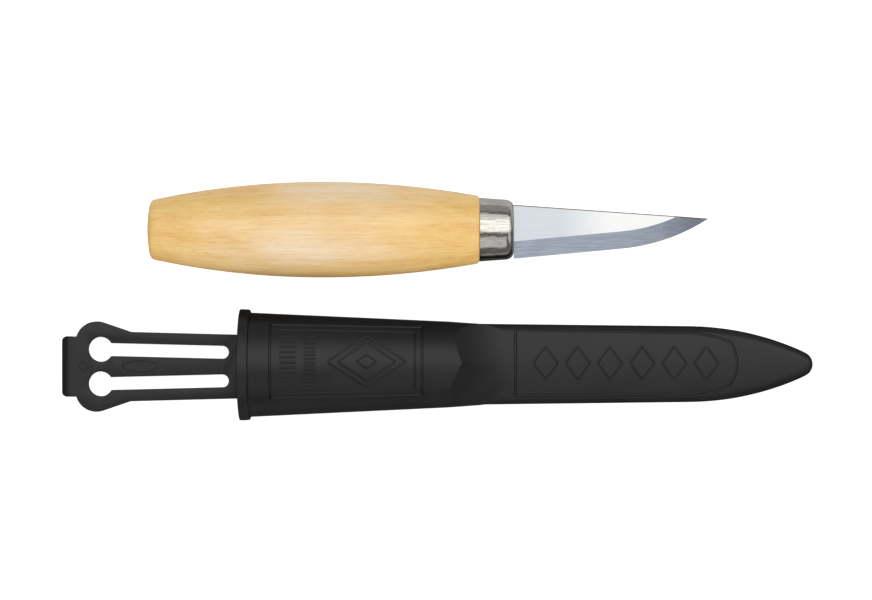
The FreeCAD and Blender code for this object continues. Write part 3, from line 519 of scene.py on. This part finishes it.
# blade: flats and two long bevels, its belly curving up to the point
def makeBlade():
    sizes = bladeSizes
    turnX = sizes["length"] - sizes["bellyLength"]
    slope = (sizes["heel"] - sizes["belly"]) / turnX
    lean = math.atan(slope)
    chordX, chordY = sizes["bellyLength"], sizes["point"] + sizes["belly"]
    radius = math.hypot(chordX, chordY) / (2 * math.sin(math.atan2(chordY, chordX) - lean))
    centreX = turnX - radius * math.sin(lean)
    centreY = -sizes["belly"] + radius * math.cos(lean)

    def edgeAt(x, inward):
        # height of a line that runs along the cutting edge, moved in by a distance
        if x <= turnX - inward * math.sin(lean):
            return -sizes["heel"] + x * slope + inward / math.cos(lean)
        reach = radius - inward
        return centreY - math.sqrt(max(reach ** 2 - (x - centreX) ** 2, 0.0))

    def halfAt(x, y):
        if x < turnX:
            inward = (y - edgeAt(x, 0)) * math.cos(lean)
        else:
            inward = radius - math.hypot(x - centreX, y - centreY)
        share = min(max(inward / sizes["bevel"], 0.0), 1.0)
        return sizes["edgeHalf"] + (sizes["halfThick"] - sizes["edgeHalf"]) * share

    def place(x, y, z):
        return (ferruleFront + x * mm, knifeY + y * mm, knifeZ + z * mm)

    rings = []
    count = int(sizes["length"] / sizes["step"])
    stations = [sizes["length"] * i / count for i in range(count)]
    stations += [sizes["length"] - 0.35, sizes["length"] - 0.06]
    for x in stations:
        spine = sizes["spine"] + (sizes["point"] - sizes["spine"]) * x / sizes["length"]
        edge = edgeAt(x, 0)
        ease = min(sizes["spineEase"], (spine - edge) * 0.2)
        bevelLine = min(edgeAt(x, sizes["bevel"]), spine - ease - 0.01)
        low = min(0.25, (spine - edge) * 0.2)
        upper = [(spine, halfAt(x, spine) - ease), (spine - ease, halfAt(x, spine - ease)),
                 (bevelLine, halfAt(x, bevelLine)), (edge + low, halfAt(x, edge + low)),
                 (edge, sizes["edgeHalf"])]
        upper[0] = (spine, max(upper[0][1], sizes["edgeHalf"]))
        ring = [place(x, y, z) for y, z in upper] + [place(x, y, -z) for y, z in reversed(upper)]
        rings.append(ring)
    blade = loftRings("bladePlate", rings)
    tangRings = []
    for x, half in ((-sizes["tangLength"], sizes["tangEndHalf"]), (0.02, sizes["tangHalf"])):
        thick = sizes["halfThick"] - 0.001
        tangRings.append([place(x, half, -thick), place(x, half, thick), place(x, -half, thick),
                          place(x, -half, -thick)])
    tang = loftRings("tangTool", tangRings)
    cutWith(blade, tang, "UNION")
    smoothPiece(blade, 8)
    finishPiece(blade, "knife", "blade", groundSteel)


makeBlade()
print("blade made")


# sheath: one moulding, with engraved panels
sheathSizes = {
    "length": 181.7,
    "mouthHalf": 16.625,
    "mouthTop": 27.0,
    "shoulder": 66.0,
    "shoulderHalf": 13.625,
    "shoulderTop": 20.6,
    "backFlat": 0.8,
    "collarLength": 3.3,
    "collarProud": 1.0,
    "wall": 1.8,
    "roofStart": 70.0,      # the shoulder slopes down from here to roofEnd
    "roofEnd": 85.0,
    "roofRise": 9.14,
    "roofPower": 1.45,
    "roofNarrowing": 1.35,
    "roofLowering": 1.6,
    "tuckStart": 76.0,      # from here the handle part draws in under the blade part
    "tuck": 2.6,
    "ridge": 0.8,           # the shoulder's ridge, to the side of the middle
    "roofLean": 0.425,
    "bladeStart": 58.0,
    "bladeStartHalf": 13.035,
    "footStart": 5.0,       # cut away along the table at bladeStart
    "footRun": 13.0,
    "pointStart": 143.0,
    "pointStartHalf": 12.085,
    "nose": 4.2,
    "topStart": 57.0,       # the blade part's top slopes over topRun
    "topRun": 125.7,
    "bladeTop": 11.4,
    "bladeEndTop": 8.6,
    "crown": 0.9,
    "edgeRound": 2.5,
    "beadRadius": 0.9,
    "beadHalf": 9.75,
    "points": 72,
}
sheathX = sheathHigh.x - sheathSizes["length"] * mm
sheathY = (sheathLow.y + sheathHigh.y) / 2
strapY = (strapLow.y + strapHigh.y) / 2


def sheathPlace(u, v, z):
    return (sheathX + u * mm, sheathY + v * mm, z * mm)


def handlePartRing(u, grow):
    sizes = sheathSizes
    share = u / sizes["shoulder"]
    half = sizes["mouthHalf"] + (sizes["shoulderHalf"] - sizes["mouthHalf"]) * share
    top = sizes["mouthTop"] + (sizes["shoulderTop"] - sizes["mouthTop"]) * share
    if u > sizes["shoulder"]:
        beyond = (u - sizes["shoulder"]) / (sizes["roofEnd"] - sizes["shoulder"])
        drawn = max(0.0, (u - sizes["tuckStart"]) / (sizes["roofEnd"] - sizes["tuckStart"]))
        half = sizes["shoulderHalf"] - sizes["roofNarrowing"] * beyond - sizes["tuck"] * drawn ** 2
        top = sizes["shoulderTop"] - sizes["roofLowering"] * beyond
    depth = (top + sizes["backFlat"]) / 2 + grow
    middle = (top - sizes["backFlat"]) / 2
    ring = []
    for step in range(sizes["points"]):
        turn = 2 * math.pi * step / sizes["points"]
        z = middle + depth * math.sin(turn)
        ring.append(sheathPlace(u, (half + grow) * math.cos(turn), max(z, 0.0)))
    return ring


def noseArc():
    # the long arc touches the straight side and the nose circle
    sizes = sheathSizes
    lean = math.atan2(sizes["bladeStartHalf"] - sizes["pointStartHalf"],
                      sizes["pointStart"] - sizes["bladeStart"])
    run = sizes["length"] - sizes["nose"] - sizes["pointStart"]
    rise, nose = sizes["pointStartHalf"], sizes["nose"]
    radius = run ** 2 + rise ** 2 - nose ** 2
    radius = radius / (2 * (rise * math.cos(lean) - run * math.sin(lean) - nose))
    centreU = sizes["pointStart"] - radius * math.sin(lean)
    centreV = rise - radius * math.cos(lean)
    noseU = sizes["length"] - nose
    touch = math.atan2(-centreV, noseU - centreU)
    return radius, centreU, centreV, noseU, noseU + nose * math.cos(touch)


arcRadius, arcU, arcV, noseU, touchU = noseArc()


def bladePartHalf(u):
    sizes = sheathSizes
    if u <= sizes["pointStart"]:
        share = (u - sizes["bladeStart"]) / (sizes["pointStart"] - sizes["bladeStart"])
        return sizes["bladeStartHalf"] + (sizes["pointStartHalf"] - sizes["bladeStartHalf"]) * share
    if u <= touchU:
        return arcV + math.sqrt(arcRadius ** 2 - (u - arcU) ** 2)
    return math.sqrt(max(sizes["nose"] ** 2 - (u - noseU) ** 2, 0.0))


def plankTop(u):
    sizes = sheathSizes
    share = (u - sizes["topStart"]) / sizes["topRun"]
    return sizes["bladeTop"] + (sizes["bladeEndTop"] - sizes["bladeTop"]) * share


def bladePartTop(u, v):
    sizes = sheathSizes
    top = plankTop(u)
    if u <= sizes["pointStart"]:
        inward = bladePartHalf(u) - abs(v)
    elif u <= touchU:
        inward = arcRadius - math.hypot(u - arcU, abs(v) - arcV)
    else:
        inward = sizes["nose"] - math.hypot(u - noseU, v)
    edge = sizes["edgeRound"]
    short = edge - min(max(inward, 0.0), edge)
    return top - sizes["crown"] * (v / 12) ** 2 - (edge - math.sqrt(edge ** 2 - short ** 2))


def bladePartRing(u):
    sizes = sheathSizes
    half = bladePartHalf(u)
    # the corner along the table is cut away where the blade part grows out of the handle part
    start = max(0.0, 1 - (u - sizes["bladeStart"]) / sizes["footRun"])
    foot = min(0.5, half * 0.3) + sizes["footStart"] * start ** 1.5
    ring = []
    for step in range(25):
        v = half * math.sin(math.pi / 2 * (1 - step / 12))
        ring.append(sheathPlace(u, v, bladePartTop(u, v)))
    low = bladePartTop(u, half)
    for share in (0.8, 0.5, 0.2):
        ring.append(sheathPlace(u, -half, foot + (low - foot) * share))
    ring.append(sheathPlace(u, -half, foot))
    for step in range(9):
        ring.append(sheathPlace(u, (-1 + step / 4) * (half - foot), 0.0))
    ring.append(sheathPlace(u, half, foot))
    for share in (0.2, 0.5, 0.8):
        ring.append(sheathPlace(u, half, foot + (low - foot) * share))
    return ring


def shoulderTool():
    # everything over two sloping facets that meet in a ridge
    sizes = sheathSizes
    deselectAll()
    bpy.ops.mesh.primitive_grid_add(x_subdivisions=36, y_subdivisions=16, size=1)
    tool = bpy.context.active_object
    run = sizes["roofEnd"] - sizes["roofStart"]
    for vert in tool.data.vertices:
        u = 58 + (vert.co.x + 0.5) * 36
        v = sizes["ridge"] + vert.co.y * 36
        share = max((sizes["roofEnd"] - u) / run, 0.0)
        foot = plankTop(u) - sizes["crown"] * (v / 12) ** 2
        rise = sizes["roofRise"] * share ** sizes["roofPower"]
        z = foot + 0.01 + rise - sizes["roofLean"] * abs(v - sizes["ridge"]) * share
        vert.co = sheathPlace(u, v, z)
    bpy.ops.object.mode_set(mode="EDIT")
    bpy.ops.mesh.select_all(action="SELECT")
    bpy.ops.mesh.extrude_region_move(TRANSFORM_OT_translate={"value": (0, 0, 0.03)})
    bpy.ops.transform.resize(value=(1, 1, 0), center_override=sheathPlace(76, 0, 45))
    bpy.ops.mesh.select_all(action="SELECT")
    bpy.ops.mesh.normals_make_consistent(inside=False)
    bpy.ops.object.mode_set(mode="OBJECT")
    return tool


def pocketRing(u, half, low, high, power):
    ring = []
    for step in range(48):
        turn = 2 * math.pi * step / 48
        c, s = math.cos(turn), math.sin(turn)
        v = half * math.copysign(abs(c) ** (2 / power), c)
        z = (low + high) / 2 + (high - low) / 2 * math.copysign(abs(s) ** (2 / power), s)
        ring.append(sheathPlace(u, v, z))
    return ring


engraving = {
    "frameRadius": 0.42,    # mm, half the width of a frame line
    "lineRadius": 0.34,
    "markRadius": 0.16,     # marks on the strap
    "step": 0.9,            # mm between points of a line
}


def resample(points):
    # straight stretches are given points a set distance apart
    close = [points[0]]
    for (u0, v0), (u1, v1) in zip(points, points[1:]):
        count = max(1, int(math.hypot(u1 - u0, v1 - v0) / engraving["step"] + 0.5))
        for step in range(1, count + 1):
            close.append((u0 + (u1 - u0) * step / count, v0 + (v1 - v0) * step / count))
    return close


def bow(start, bend, end, count=14):
    # a plain curve from start to end that leans towards bend
    points = []
    for step in range(count + 1):
        s = step / count
        points.append(tuple((1 - s) ** 2 * a + 2 * s * (1 - s) * b + s ** 2 * c
                            for a, b, c in zip(start, bend, end)))
    return points


def engrave(sheath, lines, radius):
    # each line is a round bar laid half into the surface and cut away
    curve = bpy.data.curves.new("engravingTool", "CURVE")
    curve.dimensions = "3D"
    curve.bevel_depth = radius * mm
    curve.bevel_resolution = 1
    curve.use_fill_caps = True
    down = Vector((0, 0, -1))
    for line in lines:
        places = []
        for u, v in resample(line):
            start = Vector(sheathPlace(u, v, 60))
            hit, spot = sheath.ray_cast(start, down)[:2]
            if hit:
                places.append(spot)
        spline = curve.splines.new("POLY")
        spline.points.add(len(places) - 1)
        for point, spot in zip(spline.points, places):
            point.co = (spot.x, spot.y, spot.z, 1)
    tool = bpy.data.objects.new("engravingTool", curve)
    bpy.context.scene.collection.objects.link(tool)
    makeActive(tool)
    bpy.ops.object.convert(target="MESH")
    tool = bpy.context.active_object
    bpy.ops.object.mode_set(mode="EDIT")
    bpy.ops.mesh.select_all(action="SELECT")
    bpy.ops.mesh.remove_doubles(threshold=0.000001)
    bpy.ops.mesh.normals_make_consistent(inside=False)
    bpy.ops.object.mode_set(mode="OBJECT")
    cutWith(sheath, tool)


def diamond(u, v, reach, height):
    return [(u - reach, v), (u, v + height), (u + reach, v), (u, v - height), (u - reach, v)]


def sides(points):
    return [[a, b] for a, b in zip(points, points[1:])]


def engravePanels(sheath):
    # plain panels of the builder's own: straight frames, ribbed bands and diamonds
    frameRadius, lineRadius = engraving["frameRadius"], engraving["lineRadius"]
    # frame of the handle part, with a finer line inside it
    engrave(sheath, [[(10.2, 12.7), (57.5, 11.8)]], frameRadius)
    engrave(sheath, [[(10.2, -10.1), (57.5, -9.3)]], frameRadius)
    engrave(sheath, [[(10.2, 12.9), (10.2, -10.3)]], frameRadius)
    engrave(sheath, [[(57.5, 12.0), (57.5, -9.5)]], frameRadius)
    engrave(sheath, [[(12.0, 11.2), (54.6, 10.3)], [(12.0, -8.7), (54.6, -7.9)],
                     [(55.2, 9.6), (55.2, -7.2)]], lineRadius)
    # two plain ribbed bands
    for start, end, pitch, count in ((13.2, 18.2, 1.6, 11), (20.7, 24.3, 1.14, 15)):
        engrave(sheath, [[(start, -7.0 + pitch * i), (end, -7.0 + pitch * i)] for i in range(count)],
                lineRadius)
    # nested diamonds
    for reach, height in ((12.2, 8.2), (9.0, 6.0), (3.2, 2.1)):
        for side in sides(diamond(40.2, 1.2, reach, height)):
            engrave(sheath, [side], lineRadius)
    # frame of the blade part, with a round end
    upper = [(87.0, 10.9), (113.6, 10.5), (140.5, 10.0)]
    lower = [(87.0, -9.9), (113.6, -9.7), (138.5, -9.4)]
    engrave(sheath, [upper + bow((141.5, 10.0), (149, 9.6), (155, 7.3))], frameRadius)
    engrave(sheath, [lower + bow((139.5, -9.4), (149, -9.0), (155, -6.4))], frameRadius)
    engrave(sheath, [[(87.0, 11.1), (87.0, -10.1)]], frameRadius)
    engrave(sheath, [bow((155, 7.6), (159.6, 0.5), (155, -6.7))], frameRadius)
    # a row of plain diamonds
    for index in range(6):
        for side in sides(diamond(96.5 + 10.2 * index, 0.45, 3.9, 5.2)):
            engrave(sheath, [side], lineRadius)


def makeSheath():
    sizes = sheathSizes
    proud = sizes["collarProud"]
    edge = sizes["collarLength"]
    # the collar, with eased corners: place along the sheath, and how far it stands out
    collar = [(0, proud - 0.45), (0.03, proud - 0.2), (0.2, proud - 0.03), (0.5, proud), (1.7, proud),
              (edge - 0.5, proud), (edge - 0.15, proud - 0.05), (edge, proud - 0.25), (edge + 0.02, 0.3),
              (edge + 0.08, 0.03), (edge + 0.4, 0.0)]
    rings = [handlePartRing(u, grow) for u, grow in collar]
    u = edge + 1.6
    while u < sizes["shoulder"] - 1:
        rings.append(handlePartRing(u, 0.0))
        u += 2.4
    rings += [handlePartRing(u, 0.0) for u in (66, 68, 70, 72, 74, 76, 78, 80, 82, 85)]
    sheath = loftRings("sheathMoulding", rings)
    applyModifier(sheath, "SUBSURF", levels=1, render_levels=1)
    count = int((touchU - sizes["bladeStart"]) / 2.5)
    stations = [sizes["bladeStart"] + 2.5 * i for i in range(count)]
    stations += [touchU - 1.2]
    for turn in (78, 66, 54, 43, 33, 24, 16, 9, 4, 1):
        station = noseU + sizes["nose"] * math.cos(math.radians(turn))
        if station > touchU:
            stations.append(station)
    bladePart = loftRings("bladePart", [bladePartRing(u) for u in stations])
    applyModifier(bladePart, "SUBSURF", levels=1, render_levels=1)
    cutWith(sheath, shoulderTool())
    cutWith(sheath, bladePart, "UNION")
    print("sheath outside made", len(sheath.data.polygons))
    engravePanels(sheath)
    print("sheath engraved", len(sheath.data.polygons))
    wall = sizes["wall"]
    pocket = loftRings("pocketTool", [
        pocketRing(-1, sizes["mouthHalf"] - wall + 0.6, wall - 0.3, sizes["mouthTop"] - wall + 0.3, 2),
        pocketRing(0.5, sizes["mouthHalf"] - wall, wall, sizes["mouthTop"] - wall, 2),
        pocketRing(sizes["shoulder"], sizes["shoulderHalf"] - wall, wall, sizes["shoulderTop"] - wall, 2)])
    cutWith(sheath, pocket)
    slot = loftRings("slotTool", [
        pocketRing(sizes["shoulder"] - 1, 10.9, wall, 9.6, 6),
        pocketRing(sizes["pointStart"], 10.2, wall, 6.8, 6),
        pocketRing(sizes["length"] - 10, 3.3, wall, 6.8, 6)])
    cutWith(sheath, slot)
    # the bead of the living hinge
    beadRings = []
    bead = sizes["beadRadius"]
    for along, reach in ((-1, 0.55), (-0.985, 0.8), (-0.96, bead), (0.96, bead), (0.985, 0.8), (1, 0.55)):
        beadRings.append([(sheathX + (-0.5 + reach * math.cos(2 * math.pi * i / 24)) * mm,
                           strapY + along * sizes["beadHalf"] * mm,
                           (1.0 + reach * math.sin(2 * math.pi * i / 24)) * mm) for i in range(24)])
    cutWith(sheath, loftRings("beadTool", beadRings), "UNION")
    smoothPiece(sheath, 32)
    finishPiece(sheath, "sheath", "sheath_shell", plastic)


makeSheath()
print("sheath made")


# belt strap: a flat keyhole strap whose end turns down
strapSizes = {
    "gap": 0.35,
    "rootHalf": 10.15,
    "neck": 35.4,
    "neckHalf": 11.05,
    "lobe": 46.3,
    "lobeHalf": 7.7,
    "lobeRadius": 6.7,
    "tabHalf": 9.6,
    "length": 57.7,
    "under": 3.6,
    "thick": 2.0,
    "lipThick": 1.8,
    "lipBend": 3.0,
    "hole": 45.0,
    "holeHalf": 5.5,
    "holeRadius": 3.95,
    "slot": 6.2,
    "slotHalf": 4.55,
    "slotRadius": 2.05,
    "edgeRound": 0.32,
    "flangeHalf": 9.75,     # thicker root at the living hinge
    "flangeReach": 1.4,
    "flangeLow": 2.3,
    "flangeHigh": 4.6,
}


def strapPlace(x, y, z):
    return (sheathX + x * mm, strapY + y * mm, z * mm)


def prism(name, outline, low, high):
    return loftRings(name, [[strapPlace(x, y, z) for x, y in outline] for z in (low, high)])


def makeStrap():
    sizes = strapSizes
    under, top = sizes["under"], sizes["under"] + sizes["thick"]
    neck = (-sizes["neck"], sizes["neckHalf"])
    lobe = (-sizes["lobe"], sizes["lobeHalf"])
    away = (lobe[0] - neck[0], lobe[1] - neck[1])
    reach = math.hypot(*away)
    heading = math.atan2(away[1], away[0]) - math.asin(sizes["lobeRadius"] / reach)
    run = math.sqrt(reach ** 2 - sizes["lobeRadius"] ** 2)
    touch = (neck[0] + run * math.cos(heading), neck[1] + run * math.sin(heading))
    first = math.atan2(touch[1] - lobe[1], touch[0] - lobe[0])
    tabX = lobe[0] - math.sqrt(sizes["lobeRadius"] ** 2 - (sizes["tabHalf"] - lobe[1]) ** 2)
    last = math.atan2(sizes["tabHalf"] - lobe[1], tabX - lobe[0])
    side = [(-sizes["gap"], sizes["rootHalf"]), neck]
    for step in range(17):
        turn = first + (last - first) * step / 16
        side.append((lobe[0] + sizes["lobeRadius"] * math.cos(turn),
                     lobe[1] + sizes["lobeRadius"] * math.sin(turn)))
    side.append((-sizes["length"] + 4.4, sizes["tabHalf"]))
    outline = side + [(x, -y) for x, y in reversed(side)]
    strap = prism("beltStrap", outline, under, top)
    # the end lip, drawn from the side and extruded across
    bend, thick = sizes["lipBend"], sizes["lipThick"]
    inner = bend - thick
    lipRings = []
    for y, back in ((1, 1.1), (0.97, 0.55), (0.93, 0.2), (0.88, 0.03), (0.8, 0), (-0.8, 0), (-0.88, 0.03),
                    (-0.93, 0.2), (-0.97, 0.55), (-1, 1.1)):
        end = -sizes["length"] + back
        root = -sizes["length"] + 5.0
        profile = [(root, top)]
        for step in range(9):
            turn = math.pi / 2 * (1 + step / 8)
            profile.append((end + bend + bend * math.cos(turn), top - bend + bend * math.sin(turn)))
        profile += [(end, 0.0), (end + thick, 0.0)]
        for step in range(5):
            turn = math.pi * (1 - step / 8)
            profile.append((end + thick + inner + inner * math.cos(turn),
                            under - inner + inner * math.sin(turn)))
        profile.append((root, under))
        lipRings.append([strapPlace(x, y * sizes["tabHalf"], z) for x, z in profile])
    lip = loftRings("lipTool", lipRings)
    cutWith(strap, lip, "UNION")
    gap = sizes["gap"]
    half, back = sizes["flangeHalf"], -gap - sizes["flangeReach"]
    flange = [(-gap, half), (back, half), (back, -half), (-gap, -half)]
    cutWith(strap, prism("flangeTool", flange, sizes["flangeLow"], sizes["flangeHigh"]), "UNION")
    # keyholes: a round hole with a long slot that closes in towards the root
    for way in (1, -1):
        outer = Vector((-sizes["hole"], way * sizes["holeHalf"]))
        inner = Vector((-sizes["slot"], way * sizes["slotHalf"]))
        hole = [(outer.x + sizes["holeRadius"] * math.cos(2 * math.pi * i / 48),
                 outer.y + sizes["holeRadius"] * math.sin(2 * math.pi * i / 48)) for i in range(48)]
        cutWith(strap, prism("holeTool", hole, 1, 9))
        along = (inner - outer).normalized()
        heading = math.atan2(along.y, along.x)
        slot = []
        for centre, base in ((inner, heading - math.pi / 2), (outer, heading + math.pi / 2)):
            for step in range(13):
                turn = base + math.pi * step / 12
                slot.append((centre.x + sizes["slotRadius"] * math.cos(turn),
                             centre.y + sizes["slotRadius"] * math.sin(turn)))
        cutWith(strap, prism("slotTool", slot, 1, 9))
    applyModifier(strap, "BEVEL", width=sizes["edgeRound"] * mm, segments=3, limit_method="ANGLE",
                  angle_limit=math.radians(50))
    # moulding marks: a long shallow oval on the middle bar and a small diamond by the tab
    oval = [(-32.4 + 5.6 * math.cos(math.pi * i / 16), 0.1 + 1.75 * math.sin(math.pi * i / 16))
            for i in range(33)]
    shift = (strapY - sheathY) / mm
    for part in (oval[:17], oval[16:]):
        engrave(strap, [[(x, y + shift) for x, y in part]], engraving["markRadius"])
    for side in sides(diamond(-50.4, shift, 1.7, 1.5)):
        engrave(strap, [side], engraving["markRadius"])
    smoothPiece(strap, 40)
    finishPiece(strap, "strap", "belt_strap", plastic)


makeStrap()
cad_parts["tang_glue"].data.materials.clear()
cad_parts["tang_glue"].data.materials.append(glue)
print("strap made")


# studio: a white table and soft boxes overhead, at the front and back, and at the blade's end
studio = {
    "cameraHeight": 0.777,
    "cameraX": -0.00016,
    "cameraY": 0.00035,
    "lens": 100.0,
    "keyRadiance": 2.3,
    "lowRadiance": 1.0,
    "rimRadiance": 0.32,
    "fillRadiance": 2.0,
    "highRadiance": 1.3,
    "endRadiance": 1.4,
    "endLowRadiance": 0.9,
    "worldStrength": 0.24,
}


def addLight(name, place, aim, width, height, radiance, tint):
    data = bpy.data.lights.new(name, "AREA")
    data.shape = "RECTANGLE"
    data.size = width
    data.size_y = height
    data.color = linearColour(tint)[:3]
    data.energy = math.pi * width * height * radiance
    light = bpy.data.objects.new(name, data)
    bpy.context.scene.collection.objects.link(light)
    light.location = place
    light.rotation_euler = (Vector(aim) - Vector(place)).to_track_quat("-Z", "Y").to_euler()
    light.visible_camera = False
    return light


def makeStudio():
    deselectAll()
    bpy.ops.mesh.primitive_plane_add(size=8, location=(0, 0, -0.00005))
    floor = bpy.context.active_object
    floor.name = "tableTop"
    paper, tree, shader = newMaterial("white_paper")
    # the paper is lit from behind, as on a light table, so that it stays white
    shader.inputs["Base Color"].default_value = linearColour("#9a9a9a")
    shader.inputs["Roughness"].default_value = 0.9
    shader.inputs["Emission Color"].default_value = (1, 1, 1, 1)
    place = addNode(tree, "ShaderNodeTexCoord").outputs["Object"]
    away = addNode(tree, "ShaderNodeVectorMath", {0: place}, operation="LENGTH")
    glow = addNode(tree, "ShaderNodeMapRange", {"Value": away.outputs["Value"]},
                   {"From Min": 0.4, "From Max": 1.5, "To Min": 0.88, "To Max": 1.0})
    tree.links.new(glow.outputs[0], shader.inputs["Emission Strength"])
    # reflections see a dark card round the pieces, and paper beyond it
    parts = addNode(tree, "ShaderNodeSeparateXYZ", {"Vector": place})
    across = addNode(tree, "ShaderNodeMapRange", {"Value": parts.outputs["Y"]},
                     {"From Min": -0.15, "From Max": 0.1})
    card = addNode(tree, "ShaderNodeValToRGB", {"Fac": across.outputs[0]})
    setRamp(card, [(0.12, "#bcbcbc"), (0.24, "#555555"), (0.70, "#555555"), (0.78, "#d8d8d8")])
    dim = addNode(tree, "ShaderNodeBsdfDiffuse", {"Color": card.outputs["Color"]})
    path = addNode(tree, "ShaderNodeLightPath")
    both = addNode(tree, "ShaderNodeMixShader", {0: path.outputs["Is Glossy Ray"], 1: shader.outputs[0],
                                                 2: dim.outputs[0]})
    tree.links.new(both.outputs[0], tree.nodes["Material Output"].inputs["Surface"])
    floor.data.materials.append(paper)

    addLight("keyBox", (0, 0.28, 1.1), (0, 0.28, 0), 1.7, 0.82, studio["keyRadiance"], "#ffffff")
    addLight("lowBox", (-0.38, -0.76, 0.93), (-0.38, 0, 0), 1.46, 0.82, studio["lowRadiance"], "#f4f7ff")
    addLight("highBox", (0, 0.80, 0.93), (0, 0, 0), 1.8, 0.36, studio["highRadiance"], "#ffffff")
    addLight("rimBox", (0, 1.2, 0.3), (0, 0, 0), 1.8, 0.7, studio["rimRadiance"], "#ffffff")
    fill = addLight("fillBox", (0, -1.0, 0.6), (0, 0, 0), 1.6, 0.8, studio["fillRadiance"], "#fff8ee")
    fill.visible_glossy = False
    addLight("endBox", (1.10, 0.35, 0.85), (0, 0, 0), 1.0, 1.0, studio["endRadiance"], "#ffffff")
    addLight("endLowBox", (1.10, -0.50, 0.85), (0, 0, 0), 0.6, 1.0, studio["endLowRadiance"], "#ffffff")

    world = bpy.data.worlds.new("studioWorld")
    bpy.context.scene.world = world
    world.use_nodes = True
    tree = world.node_tree
    lit = tree.nodes["Background"]
    lit.inputs["Color"].default_value = (1, 1, 1, 1)
    lit.inputs["Strength"].default_value = studio["worldStrength"]
    seen = addNode(tree, "ShaderNodeBackground", values={"Color": (1, 1, 1, 1), "Strength": 1.0})
    path = addNode(tree, "ShaderNodeLightPath")
    both = addNode(tree, "ShaderNodeMixShader", {0: path.outputs["Is Camera Ray"], 1: lit.outputs[0],
                                                 2: seen.outputs[0]})
    tree.links.new(both.outputs[0], tree.nodes["World Output"].inputs["Surface"])
    bpy.context.scene.view_settings.view_transform = "Standard"

    data = bpy.data.cameras.new("studioCamera")
    data.lens = studio["lens"]
    data.sensor_width = 36.0
    data.clip_start = 0.01
    data.clip_end = 20
    camera = bpy.data.objects.new("studioCamera", data)
    bpy.context.scene.collection.objects.link(camera)
    camera.location = (studio["cameraX"], studio["cameraY"], studio["cameraHeight"])
    camera.rotation_euler = (0, 0, 0)
    bpy.context.scene.camera = camera


makeStudio()
print("studio made")
